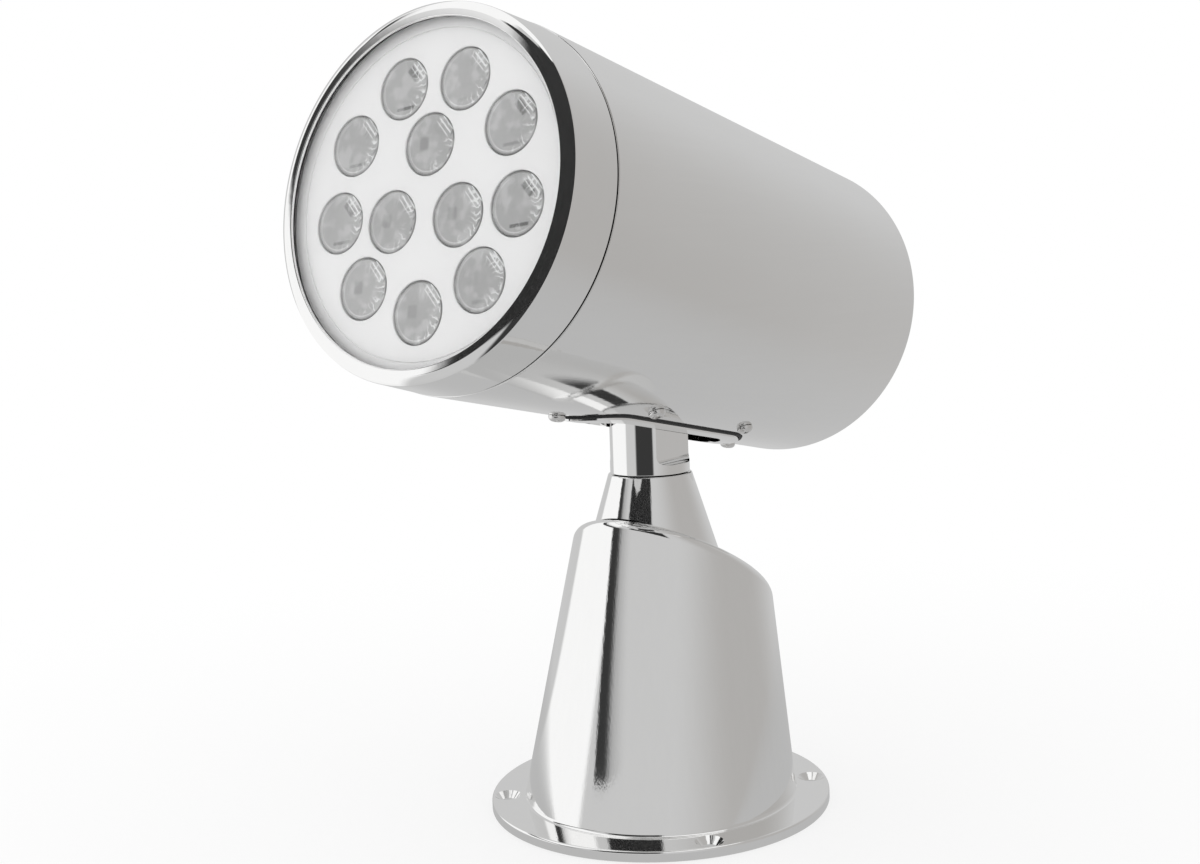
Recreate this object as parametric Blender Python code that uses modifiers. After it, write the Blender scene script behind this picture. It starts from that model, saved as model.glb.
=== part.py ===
"""Remote-controlled deck searchlight: a polished pedestal, a turning stem and a tilting LED head.

Metres, +Z up. The origin is the middle of the mounting flange's underside, and the lamp shines
towards -Y. The head is modelled level in the frame of the tilt axis and parented to an empty that
lifts it by HEAD_LIFT, the angle at which the lamp stands at rest.
"""
import math

import bmesh
import bpy
from mathutils import Matrix, Vector

# Clearances
GAP = 0.0003
RUNNING_GAP = 0.0003

# Mounting flange and pedestal housing
FOOT_RADIUS = 0.0502
FLANGE_LEDGE = 0.0122
FLANGE_THICKNESS = 0.0035
FLANGE_EDGE = 0.0009
SIDE_TAPER = math.radians(8.74)
REARWARD_LEAN = math.radians(6.8)
TOP_SLOPE = math.radians(31.5)
TOP_HEIGHT = 0.0945
TOP_EDGE_RADIUS = 0.0041
HOUSING_WALL = 0.0025
MOUNT_HOLE_RADIUS = 0.0027
COUNTERSINK_SHARE = 0.4016
MOUNT_PITCH_SHARE = 0.5246
MOUNT_HALF_ANGLE = math.radians(51.0)

# Base cover and what stands on it
COVER_MARGIN = 0.0005
COVER_THICKNESS = 0.0022
COVER_SCREW_INSET = 0.0035
COVER_BOSS_RADIUS = 0.0052
COVER_BOSS_HEIGHT = 0.0068
COVER_SCREW_RADIUS = 0.0015
COVER_SCREW_HEAD = 0.0029
COVER_SCREW_LENGTH = 0.0060
GLAND_RADIUS = 0.0058
GLAND_COLLAR = 0.0082
GLAND_BORE = 0.0032
GLAND_HEIGHT = 0.0120
GLAND_INSET = 0.0020
GLAND_CHAMFER = 0.0010
GLAND_NUT_HEIGHT = 0.0040
BOARD_POST_HEIGHT = 0.0050
BOARD_POST_RADIUS = 0.0025
CONTROL_BOARD_LENGTH_SHARE = 0.975
CONTROL_BOARD_WIDTH_SHARE = 0.510
CONTROL_BOARD_PLACE_SHARE = 0.520
BOARD_THICKNESS = 0.0016

# Turned neck collar and the pan bearing
COLLAR_RISE = 0.0265
COLLAR_TOP_RADIUS = 0.0154
COLLAR_TAPER = math.radians(17.0)
SPIGOT_RADIUS = 0.0163
SPIGOT_DEPTH = 0.0050
SHAFT_RADIUS = 0.0080
BUSH_WALL = 0.0026
BUSH_LENGTH = 0.0130
BUSH_SET_BACK = 0.0045
SEAL_RADIUS = 0.0120
SEAL_SECTION = 0.0009

# Gear plate and pan drive
GEAR_PLATE_SHARE = 0.455026
GEAR_PLATE_THICKNESS = 0.0030
LUG_RADIUS = 0.0050
LUG_HEIGHT = 0.0060
BOSS_TURN = math.radians(6.0)
LUG_ANGLES = (30.0, 150.0, 270.0)
PLATE_SHOULDER = 0.0020
PAN_DRIVE_INSET = 0.0202
PAN_GEAR_TEETH = 30
PAN_PINION_TEETH = 10
PAN_GEAR_WIDTH = 0.0060
PAN_GEAR_HUB = 0.0130
PINION_SHAFT_RADIUS = 0.0020
SHAFT_TAIL = 0.0090
NUT_HEIGHT = 0.0040
NUT_ACROSS_FLATS = 0.0240
PAN_MOTOR_RADIUS = 0.0115
PAN_MOTOR_LENGTH = 0.0280
MOTOR_NOSE_RADIUS = 0.0040
MOTOR_NOSE_HEIGHT = 0.0020
MOTOR_CHAMFER = 0.0010
PAN_GEAR_LIFT = 0.0030
BUSH_FLANGE = 0.0020
BUSH_FLANGE_THICKNESS = 0.0015

# Stem and tongue
STEM_RADIUS = 0.0147
TONGUE_HALF_WIDTH = 0.0103
FLAT_STEP = 0.0038
FLAT_FILLET = 0.0030
WIRE_BORE_RADIUS = 0.0030
WIRE_EXIT_DROP = 0.0130

# Tilt axis
TILT_AXIS_RISE = 0.0400
HEAD_LIFT = math.radians(11.4)
PIN_RADIUS = 0.0040
TILT_BUSH_WALL = 0.0022
EAR_RADIUS = 0.0090
EAR_REACH = 0.0180
TILT_MODULE = 0.0010
TILT_GEAR_TEETH = 22
TILT_PINION_TEETH = 12
TILT_GEAR_WIDTH = 0.0040
CLIP_THICKNESS = 0.0012
CLIP_WIDTH = 0.0022
PIN_TAIL = 0.0010
PIN_CHAMFER = 0.0005
TILT_GEAR_SPACE = 0.0010

# Barrel
BARREL_RADIUS = 0.0605
BARREL_WALL = 0.0020
BARREL_DROP = 0.0240
FACE_AHEAD = 0.1279
REAR_BEHIND = 0.0973
BEZEL_LENGTH = 0.0202
SEAM_GAP = 0.0004
SEAM_CHAMFER = 0.0004
BARREL_END_CHAMFER = 0.0005
NECK_STEP = 0.0010
BEZEL_DRAFT = 0.0013
BEZEL_EDGE_RADIUS = 0.0012
MOUTH_INSET = 0.0061
LIP_THICKNESS = 0.0010
GLASS_SEAT = 0.0026
FRONT_GASKET_THICKNESS = 0.0005
GLASS_THICKNESS = 0.0018
PLATE_THICKNESS = 0.0015
SPIGOT_WALL = 0.0025
SINK_LEDGE = 0.0017
LEDGE_LENGTH = 0.0030

# Rear cap
CAP_RECESS = 0.0012
CAP_RIM_THICKNESS = 0.0022
CAP_DOME = 0.0045
CAP_LAND = 0.0135
CAP_EDGE = 0.0006
CAP_BOSS_RADIUS = 0.0042
CAP_BOSS_LENGTH = 0.0080
CAP_BOSS_CLEARANCE = 0.0004
CAP_BOSS_SINK = 0.0015
CAP_SCREW_COUNT = 4
REAR_SEAL_SECTION = 0.0009

# LED module
OUTER_LED_COUNT = 9
INNER_LED_COUNT = 3
OUTER_LED_SHARE = 0.6746
INNER_LED_SHARE = 0.2842
LED_OPENING_SHARE = 0.1838
LED_MODULE_TURN = math.radians(-2.1)
LENS_SET_BACK = 0.0004
LENS_RIM = 0.0016
LENS_SHOULDER = 0.0010
LENS_DEPTH = 0.0122
LENS_FOOT_RADIUS = 0.0046
LENS_POCKET_RADIUS = 0.0032
LENS_POCKET_DEPTH = 0.0040
CHIP_SIZE = 0.0034
CHIP_HEIGHT = 0.0006
SINK_BASE = 0.0050
FIN_COUNT = 9
FIN_THICKNESS = 0.0022
FIN_LENGTH = 0.0220
DRIVER_POST_RADIUS = 0.0030
DRIVER_INSET = 0.0195

# Saddle slot under the barrel
SLOT_SIDE_GAP = 0.0007
SLOT_STEP = 0.00005
SLOT_HALF_LENGTH = 0.0400
SLOT_CENTRE = 0.0054
RIM_WIDTH = 0.0046
RIM_END = 0.0090
RIM_PROUD = 0.0012
SADDLE_LIP = 0.0009
SADDLE_GASKET = 0.0008
SADDLE_FLANGE = 0.0030
SADDLE_FLANGE_SIDE = 0.0120
SADDLE_FLANGE_END = 0.0120
SADDLE_CORNER_SHARE = 0.55
POCKET_WALL = 0.0030
POCKET_CLEARANCE = 0.0010
OVERLAP = 0.0005
CUT_REACH = 0.0040
POCKET_SHOULDER = -0.0050
POCKET_TOP_HALF = 0.0180
SADDLE_SCREW_REACH = 0.02344
SADDLE_SCREW_SPREAD = 0.0297
SADDLE_SCREW_END = 0.0555
SCREW_RADIUS = 0.0015
SCREW_HEAD_RADIUS = 0.0030
SCREW_HEAD_HEIGHT = 0.0022
SCREW_SHANK = 0.0060

# Tilt motor
BRACKET_THICKNESS = 0.0020
BRACKET_POST_RADIUS = 0.0030
BRACKET_POST_SPREAD = 0.0210
BRACKET_POST_RISE = 0.0020
TILT_MOTOR_RADIUS = 0.0090
TILT_MOTOR_CLEARANCE = 0.0395

# Facets
FINE = 36
MEDIUM = 18
HOLE_SIDES = 12
COARSE = 10
SMALL = 8
SEAL_SIDES = 6

# Worked out from the values above
FLANGE_RADIUS = FOOT_RADIUS + FLANGE_LEDGE
MOUNT_PITCH_RADIUS = FOOT_RADIUS + FLANGE_LEDGE * MOUNT_PITCH_SHARE
COUNTERSINK_RADIUS = FLANGE_LEDGE * COUNTERSINK_SHARE
PAN_SEAM_HEIGHT = TOP_HEIGHT + COLLAR_RISE
GEAR_PLATE_HEIGHT = TOP_HEIGHT * GEAR_PLATE_SHARE
FLAT_HEIGHT = PAN_SEAM_HEIGHT + FLAT_STEP
TILT_AXIS_HEIGHT = PAN_SEAM_HEIGHT + TILT_AXIS_RISE
BARREL_RISE = BARREL_RADIUS - BARREL_DROP
BEZEL_FRONT_RADIUS = BARREL_RADIUS - BEZEL_DRAFT
MOUTH_RADIUS = BARREL_RADIUS - MOUTH_INSET
CAP_DOME_RADIUS = BARREL_RADIUS - CAP_LAND
OUTER_LED_RADIUS = MOUTH_RADIUS * OUTER_LED_SHARE
INNER_LED_RADIUS = MOUTH_RADIUS * INNER_LED_SHARE
LED_OPENING_RADIUS = MOUTH_RADIUS * LED_OPENING_SHARE
SADDLE_SCREW_ANGLE = SADDLE_SCREW_REACH / BARREL_RADIUS
BARREL_INNER = BARREL_RADIUS - BARREL_WALL
SEAM_STATION = FACE_AHEAD - BEZEL_LENGTH
LIP_STATION = FACE_AHEAD - LIP_THICKNESS
GASKET_STATION = LIP_STATION - GAP
GLASS_STATION = GASKET_STATION - FRONT_GASKET_THICKNESS - GAP
PLATE_STATION = GLASS_STATION - GLASS_THICKNESS - GAP
SPIGOT_STATION = PLATE_STATION - PLATE_THICKNESS - GAP
LENS_STATION = PLATE_STATION - LENS_SET_BACK
BOARD_STATION = LENS_STATION - LENS_DEPTH - GAP
SINK_STATION = BOARD_STATION - CHIP_HEIGHT - BOARD_THICKNESS - GAP
LEDGE_STATION = SINK_STATION - SINK_BASE - GAP
GLASS_RADIUS = MOUTH_RADIUS + GLASS_SEAT - GAP
NECK_RADIUS = MOUTH_RADIUS + GLASS_SEAT + NECK_STEP
NECK_INNER = NECK_RADIUS - SPIGOT_WALL
DRIVER_RADIUS = NECK_INNER - DRIVER_INSET
FIN_PITCH = 2 * NECK_INNER / (FIN_COUNT + 1)
TILT_MOTOR_LENGTH = BARREL_INNER - TILT_MOTOR_CLEARANCE
CAP_STATION = -REAR_BEHIND + CAP_RECESS
COVER_RADIUS = FOOT_RADIUS - HOUSING_WALL / math.cos(SIDE_TAPER) - COVER_MARGIN
SLOT_HALF_WIDTH = TONGUE_HALF_WIDTH + SLOT_SIDE_GAP
RIM_HALF_WIDTH = SLOT_HALF_WIDTH + RIM_WIDTH
RIM_HALF_LENGTH = SLOT_HALF_LENGTH + RIM_END
PAN_CENTRES = FOOT_RADIUS - PAN_DRIVE_INSET
GEAR_MODULE = 2 * PAN_CENTRES / (PAN_GEAR_TEETH + PAN_PINION_TEETH)
GEAR_PLATE_RADIUS = PAN_CENTRES
GLAND_OFFSET = PAN_CENTRES - GLAND_INSET
CONTROL_BOARD_LENGTH = COVER_RADIUS * CONTROL_BOARD_LENGTH_SHARE
CONTROL_BOARD_WIDTH = COVER_RADIUS * CONTROL_BOARD_WIDTH_SHARE
CONTROL_BOARD_CENTRE_Y = -COVER_RADIUS * CONTROL_BOARD_PLACE_SHARE
TILT_CENTRES = TILT_MODULE * (TILT_GEAR_TEETH + TILT_PINION_TEETH) / 2
PAN_GEAR_HEIGHT = GEAR_PLATE_HEIGHT + GEAR_PLATE_THICKNESS + PAN_GEAR_LIFT
TILT_GEAR_STATION = EAR_REACH + TILT_GEAR_SPACE
BRACKET_STATION = TILT_GEAR_STATION + TILT_GEAR_WIDTH + TILT_GEAR_SPACE
COVER_SCREW_PITCH = COVER_RADIUS - COVER_SCREW_INSET


def clear_scene():
    for obj in list(bpy.data.objects):
        bpy.data.objects.remove(obj, do_unlink=True)


def new_collection(name):
    collection = bpy.data.collections.new(name)
    bpy.context.scene.collection.children.link(collection)
    return collection


clear_scene()
PARTS = new_collection("searchlight")
CUTTERS = new_collection("cutters")


def make_material(name, colour, roughness, metallic=0.0, transmission=0.0):
    material = bpy.data.materials.new(name)
    material.use_nodes = True
    shader = material.node_tree.nodes["Principled BSDF"]
    shader.inputs["Base Color"].default_value = (*colour, 1.0)
    shader.inputs["Roughness"].default_value = roughness
    shader.inputs["Metallic"].default_value = metallic
    shader.inputs["Transmission Weight"].default_value = transmission
    return material


POLISHED = make_material("polished_steel", (0.62, 0.61, 0.58), 0.15, 1.0)
BRUSHED = make_material("brushed_steel", (0.58, 0.57, 0.54), 0.30, 1.0)
SCREW_STEEL = make_material("screw_steel", (0.50, 0.50, 0.49), 0.25, 1.0)
BRONZE = make_material("bronze", (0.55, 0.40, 0.20), 0.35, 1.0)
ALUMINIUM = make_material("aluminium", (0.70, 0.71, 0.72), 0.40, 1.0)
BLACK_RUBBER = make_material("black_rubber", (0.02, 0.02, 0.02), 0.70)
BLACK_PLASTIC = make_material("black_plastic", (0.03, 0.03, 0.03), 0.45)
WHITE_PLATE = make_material("white_plate", (0.90, 0.90, 0.90), 0.35)
CLEAR_GLASS = make_material("clear_glass", (1.0, 1.0, 1.0), 0.02, 0.0, 1.0)
LENS_PLASTIC = make_material("lens_plastic", (0.85, 0.87, 0.88), 0.08, 0.0, 0.6)
BOARD_GREEN = make_material("board_green", (0.04, 0.20, 0.09), 0.45)
WHITE_NYLON = make_material("white_nylon", (0.82, 0.81, 0.76), 0.50)


def add_object(name, data, material=None, collection=None):
    obj = bpy.data.objects.new(name, data)
    (collection or PARTS).objects.link(obj)
    if material is not None:
        data.materials.append(material)
    if collection is CUTTERS:
        obj.hide_render = True
        obj.display_type = "WIRE"
    return obj


def place(obj, parent=None, at=(0.0, 0.0, 0.0), turn=(0.0, 0.0, 0.0)):
    obj.parent = parent
    obj.location = at
    obj.rotation_euler = turn
    return obj


def add_empty(name, parent=None, at=(0.0, 0.0, 0.0), turn=(0.0, 0.0, 0.0)):
    empty = bpy.data.objects.new(name, None)
    empty.empty_display_size = 0.02
    PARTS.objects.link(empty)
    return place(empty, parent, at, turn)


def smooth(mesh, angle=35.0):
    mesh.shade_smooth()
    mesh.set_sharp_from_angle(angle=math.radians(angle))


def mesh_from(bm, name):
    mesh = bpy.data.meshes.new(name)
    bm.to_mesh(mesh)
    bm.free()
    smooth(mesh)
    return mesh


def turned(name, profile, material=None, steps=MEDIUM, ring=False, collection=None):
    """A turned piece: the profile's (radius, height) points run down its outer side."""
    mesh = bpy.data.meshes.new(name)
    points = [(radius, 0.0, height) for radius, height in profile]
    edges = [(i, i + 1) for i in range(len(points) - 1)]
    if ring:
        edges.append((len(points) - 1, 0))
    mesh.from_pydata(points, edges, [])
    obj = add_object(name, mesh, material, collection)
    screw = obj.modifiers.new("Turn", "SCREW")
    screw.steps = steps
    screw.render_steps = steps
    screw.use_merge_vertices = True
    screw.merge_threshold = 0.00001
    screw.use_smooth_shade = True
    return obj


def tube_profile(inner, outer, low, high):
    return [(outer, high), (outer, low), (inner, low), (inner, high)]


def rod_profile(radius, low, high):
    return [(0.0, high), (radius, high), (radius, low), (0.0, low)]


def block(name, size, centre, material=None, collection=None):
    bm = bmesh.new()
    bmesh.ops.create_cube(bm, size=1.0, matrix=Matrix.Translation(centre) @ Matrix.Diagonal((*size, 1.0)))
    return add_object(name, mesh_from(bm, name), material, collection)


def arc(centre, radius, start, end, steps):
    """Points along an arc, angles in degrees."""
    points = []
    for i in range(steps + 1):
        angle = math.radians(start + (end - start) * i / steps)
        points.append((centre[0] + radius * math.cos(angle), centre[1] + radius * math.sin(angle)))
    return points


def circle(radius, steps=MEDIUM, centre=(0.0, 0.0)):
    return arc(centre, radius, 0.0, 360.0, steps)[:-1]


def stadium(half_width, half_length, centre_y, steps=8):
    """A slot outline along Y with round ends."""
    reach = half_length - half_width
    rear = arc((0.0, centre_y + reach), half_width, 0.0, 180.0, steps)
    front = arc((0.0, centre_y - reach), half_width, 180.0, 360.0, steps)
    return rear + front


def extruded(name, outlines, low, high, material=None, collection=None, turn=None):
    """A flat 2D outline, with any holes, given a thickness along its own Z and made a mesh."""
    curve = bpy.data.curves.new(name, "CURVE")
    curve.dimensions = "2D"
    curve.fill_mode = "BOTH"
    curve.extrude = (high - low) / 2
    for outline in outlines:
        spline = curve.splines.new("POLY")
        spline.points.add(len(outline) - 1)
        for point, (x, y) in zip(spline.points, outline):
            point.co = (x, y, 0.0, 1.0)
        spline.use_cyclic_u = True
    drawn = bpy.data.objects.new(name + "_outline", curve)
    bpy.context.scene.collection.objects.link(drawn)
    evaluated = drawn.evaluated_get(bpy.context.evaluated_depsgraph_get())
    mesh = bpy.data.meshes.new_from_object(evaluated)
    bpy.data.objects.remove(drawn, do_unlink=True)
    bm = bmesh.new()
    bm.from_mesh(mesh)
    bpy.data.meshes.remove(mesh)
    bmesh.ops.remove_doubles(bm, verts=bm.verts, dist=0.000001)
    bmesh.ops.translate(bm, verts=bm.verts, vec=(0.0, 0.0, (high + low) / 2))
    bmesh.ops.recalc_face_normals(bm, faces=bm.faces)
    if turn is not None:
        bmesh.ops.transform(bm, matrix=turn, verts=bm.verts)
    return add_object(name, mesh_from(bm, name), material, collection)


def boolean(obj, other, operation="DIFFERENCE"):
    modifier = obj.modifiers.new(operation.title(), "BOOLEAN")
    modifier.operation = operation
    modifier.solver = "EXACT"
    modifier.object = other
    return obj


def cut_round(obj, name, radius, low, high, parent=None, at=(0.0, 0.0, 0.0), turn=(0.0, 0.0, 0.0), steps=COARSE):
    cutter = turned(name, rod_profile(radius, low, high), None, steps, collection=CUTTERS)
    place(cutter, parent, at, turn)
    return boolean(obj, cutter)


def welded(obj):
    """Join the corners that the cuts leave a hair apart."""
    weld = obj.modifiers.new("Weld", "WELD")
    weld.merge_threshold = 0.000005
    return obj


# X across, profile height along -Y: turns a lathe axis to the barrel's direction.
ALONG_BARREL = (math.pi / 2, 0.0, 0.0)
# Profile height along +X: turns a lathe axis to the tilt pin's direction.
ALONG_PIN = (0.0, math.pi / 2, 0.0)


def oblique_body(name, shrink, low, top_drop, edge, collection):
    """The pedestal's leaning cone, cut by its sloping top, with that edge rounded."""
    height = TOP_HEIGHT + FOOT_RADIUS
    taper = math.tan(SIDE_TAPER)
    lean = math.tan(REARWARD_LEAN)
    foot = FOOT_RADIUS - shrink / math.cos(SIDE_TAPER)
    bm = bmesh.new()
    bmesh.ops.create_cone(
        bm,
        cap_ends=True,
        segments=FINE,
        radius1=foot - (low - FLANGE_THICKNESS) * taper,
        radius2=foot - (low + height - FLANGE_THICKNESS) * taper,
        depth=height,
        matrix=Matrix.Translation((0.0, 0.0, low + height / 2)),
    )
    for vert in bm.verts:
        vert.co.y += (vert.co.z - FLANGE_THICKNESS) * lean
    normal = Vector((0.0, math.sin(TOP_SLOPE), math.cos(TOP_SLOPE)))
    on_top = Vector((0.0, 0.0, TOP_HEIGHT)) - normal * top_drop
    geometry = bm.verts[:] + bm.edges[:] + bm.faces[:]
    cut = bmesh.ops.bisect_plane(bm, geom=geometry, plane_co=on_top, plane_no=normal, clear_outer=True)
    rim = [item for item in cut["geom_cut"] if isinstance(item, bmesh.types.BMEdge)]
    bmesh.ops.contextual_create(bm, geom=rim)
    if edge > 0.0:
        bmesh.ops.bevel(bm, geom=rim, offset=edge, offset_type="OFFSET", segments=3, profile=0.5, affect="EDGES")
    bmesh.ops.recalc_face_normals(bm, faces=bm.faces)
    return add_object(name, mesh_from(bm, name), None, collection)


def wall_reach(height, angle, inset):
    """Distance from the pan axis to the inner wall of the pedestal, less an inset."""
    radius = FOOT_RADIUS - HOUSING_WALL / math.cos(SIDE_TAPER)
    radius -= (height - FLANGE_THICKNESS) * math.tan(SIDE_TAPER)
    shift = (height - FLANGE_THICKNESS) * math.tan(REARWARD_LEAN)
    return radius + shift * math.sin(angle) - inset


def polar(radius, angle, height=0.0):
    return (radius * math.cos(angle), radius * math.sin(angle), height)


def mount_hole_angles():
    front = -math.pi / 2
    rear = math.pi / 2
    return [front - MOUNT_HALF_ANGLE, front + MOUNT_HALF_ANGLE, rear - MOUNT_HALF_ANGLE, rear + MOUNT_HALF_ANGLE]


def cover_screw_angles():
    return [math.radians(45.0 + 90.0 * i) for i in range(4)]


def make_pedestal_housing():
    flange_profile = [(0.0, FLANGE_THICKNESS)]
    flange_profile += [
        (radius, height)
        for radius, height in arc(
            (FLANGE_RADIUS - FLANGE_EDGE, FLANGE_THICKNESS - FLANGE_EDGE), FLANGE_EDGE, 90.0, 0.0, 3
        )
    ]
    flange_profile += [(FLANGE_RADIUS, 0.0), (0.0, 0.0)]
    housing = turned("pedestal_housing", flange_profile, POLISHED, FINE)
    body = oblique_body("body_outside", 0.0, FLANGE_THICKNESS / 2, 0.0, TOP_EDGE_RADIUS, CUTTERS)
    boolean(housing, body, "UNION")
    cavity = oblique_body("body_inside", HOUSING_WALL, -FLANGE_THICKNESS, HOUSING_WALL, 0.0, CUTTERS)
    for i, angle in enumerate(cover_screw_angles()):
        low = COVER_THICKNESS + GAP
        boss = turned(f"cover_boss_{i}", rod_profile(COVER_BOSS_RADIUS, low, low + COVER_BOSS_HEIGHT), None, COARSE,
                      collection=CUTTERS)
        place(boss, None, polar(COVER_SCREW_PITCH, angle), (0.0, 0.0, angle + BOSS_TURN))
        boolean(cavity, boss)
    for i, degrees in enumerate(LUG_ANGLES):
        angle = math.radians(degrees)
        low = GEAR_PLATE_HEIGHT + GEAR_PLATE_THICKNESS + GAP
        reach = wall_reach(low + LUG_HEIGHT / 2, angle, LUG_RADIUS - HOUSING_WALL / 2)
        lug = turned(f"plate_lug_{i}", rod_profile(LUG_RADIUS, low, low + LUG_HEIGHT), None, COARSE,
                     collection=CUTTERS)
        place(lug, None, polar(reach, angle), (0.0, 0.0, angle + BOSS_TURN))
        boolean(cavity, lug)
    boolean(housing, cavity)
    for i, angle in enumerate(cover_screw_angles()):
        cut_round(housing, f"cover_screw_hole_{i}", COVER_SCREW_RADIUS + GAP, 0.0,
                  COVER_SCREW_LENGTH + GAP, None, polar(COVER_SCREW_PITCH, angle), steps=SMALL)
    for i, angle in enumerate(mount_hole_angles()):
        depth = COUNTERSINK_RADIUS - MOUNT_HOLE_RADIUS
        high = FLANGE_THICKNESS + GAP
        sink = [
            (0.0, high),
            (COUNTERSINK_RADIUS + GAP, high),
            (MOUNT_HOLE_RADIUS, FLANGE_THICKNESS - depth),
            (MOUNT_HOLE_RADIUS, -high),
            (0.0, -high),
        ]
        cutter = turned(f"mount_hole_{i}", sink, None, MEDIUM, collection=CUTTERS)
        place(cutter, None, polar(MOUNT_PITCH_RADIUS, angle))
        boolean(housing, cutter)
    cut_round(housing, "collar_hole", SPIGOT_RADIUS + GAP, GEAR_PLATE_HEIGHT + LUG_HEIGHT * 3,
              TOP_HEIGHT + FOOT_RADIUS, steps=MEDIUM)
    return welded(housing)


def make_neck_collar():
    """Cone between the sloping top and the stem, with a spigot through the housing."""
    low = GEAR_PLATE_HEIGHT + LUG_HEIGHT
    high = PAN_SEAM_HEIGHT
    foot = COLLAR_TOP_RADIUS + (high - low) * math.tan(COLLAR_TAPER)
    bm = bmesh.new()
    bmesh.ops.create_cone(
        bm,
        cap_ends=True,
        segments=FINE,
        radius1=foot,
        radius2=COLLAR_TOP_RADIUS,
        depth=high - low,
        matrix=Matrix.Translation((0.0, 0.0, (high + low) / 2)),
    )
    normal = Vector((0.0, math.sin(TOP_SLOPE), math.cos(TOP_SLOPE)))
    seat = Vector((0.0, 0.0, TOP_HEIGHT)) + normal * GAP
    geometry = bm.verts[:] + bm.edges[:] + bm.faces[:]
    cut = bmesh.ops.bisect_plane(bm, geom=geometry, plane_co=seat, plane_no=normal, clear_inner=True)
    rim = [item for item in cut["geom_cut"] if isinstance(item, bmesh.types.BMEdge)]
    bmesh.ops.contextual_create(bm, geom=rim)
    bmesh.ops.recalc_face_normals(bm, faces=bm.faces)
    collar = add_object("neck_collar", mesh_from(bm, "neck_collar"), POLISHED)
    spigot_low = TOP_HEIGHT - SPIGOT_RADIUS * math.tan(TOP_SLOPE) - HOUSING_WALL - SPIGOT_DEPTH
    spigot_high = TOP_HEIGHT + SPIGOT_RADIUS * math.tan(TOP_SLOPE) + GAP
    spigot = turned("collar_spigot", rod_profile(SPIGOT_RADIUS, spigot_low, spigot_high), None, MEDIUM,
                    collection=CUTTERS)
    boolean(collar, spigot, "UNION")
    bush_seat = high - BUSH_SET_BACK
    bore = SHAFT_RADIUS + RUNNING_GAP + BUSH_WALL + GAP
    mouth = SHAFT_RADIUS + 3 * RUNNING_GAP
    bore_low = spigot_low - HOUSING_WALL
    stepped = [(0.0, high + GAP), (mouth, high + GAP), (mouth, bush_seat), (bore, bush_seat), (bore, bore_low)]
    stepped.append((0.0, bore_low))
    boolean(collar, turned("collar_bore", stepped, None, MEDIUM, collection=CUTTERS))
    groove = turned(
        "seal_groove",
        tube_profile(
            SEAL_RADIUS - SEAL_SECTION - GAP,
            SEAL_RADIUS + SEAL_SECTION + GAP,
            high - 2 * SEAL_SECTION - GAP,
            high + GAP,
        ),
        None,
        MEDIUM,
        ring=True,
        collection=CUTTERS,
    )
    boolean(collar, groove)
    return welded(collar)


def ring_of(name, radius, section, height, material, parent=None, turn=(0.0, 0.0, 0.0)):
    """A round seal ring."""
    bm = bmesh.new()
    profile = [bm.verts.new((radius + x, 0.0, height + y)) for x, y in circle(section, SEAL_SIDES)]
    edges = [bm.edges.new((profile[i], profile[(i + 1) % SEAL_SIDES])) for i in range(SEAL_SIDES)]
    bmesh.ops.spin(
        bm,
        geom=profile + edges,
        axis=(0.0, 0.0, 1.0),
        cent=(0.0, 0.0, 0.0),
        steps=MEDIUM,
        angle=2 * math.pi,
        use_merge=True,
    )
    bmesh.ops.remove_doubles(bm, verts=bm.verts, dist=0.000001)
    bmesh.ops.recalc_face_normals(bm, faces=bm.faces)
    return place(add_object(name, mesh_from(bm, name), material), parent, (0.0, 0.0, 0.0), turn)


def make_pan_bearing():
    high = PAN_SEAM_HEIGHT - BUSH_SET_BACK - GAP
    inner = SHAFT_RADIUS + RUNNING_GAP
    turned("pan_bush_upper", tube_profile(inner, inner + BUSH_WALL, high - BUSH_LENGTH, high), BRONZE, MEDIUM,
           ring=True)
    ring_of("pan_seal", SEAL_RADIUS, SEAL_SECTION, PAN_SEAM_HEIGHT - SEAL_SECTION, BLACK_RUBBER)
    low = GEAR_PLATE_HEIGHT + GAP
    flange_low = GEAR_PLATE_HEIGHT + GEAR_PLATE_THICKNESS + GAP
    outer = inner + BUSH_WALL
    profile = [
        (outer + BUSH_FLANGE, flange_low + BUSH_FLANGE_THICKNESS),
        (outer + BUSH_FLANGE, flange_low),
        (outer, flange_low),
        (outer, low),
        (inner, low),
        (inner, flange_low + BUSH_FLANGE_THICKNESS),
    ]
    turned("pan_bush_lower", profile, BRONZE, MEDIUM, ring=True)


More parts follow.
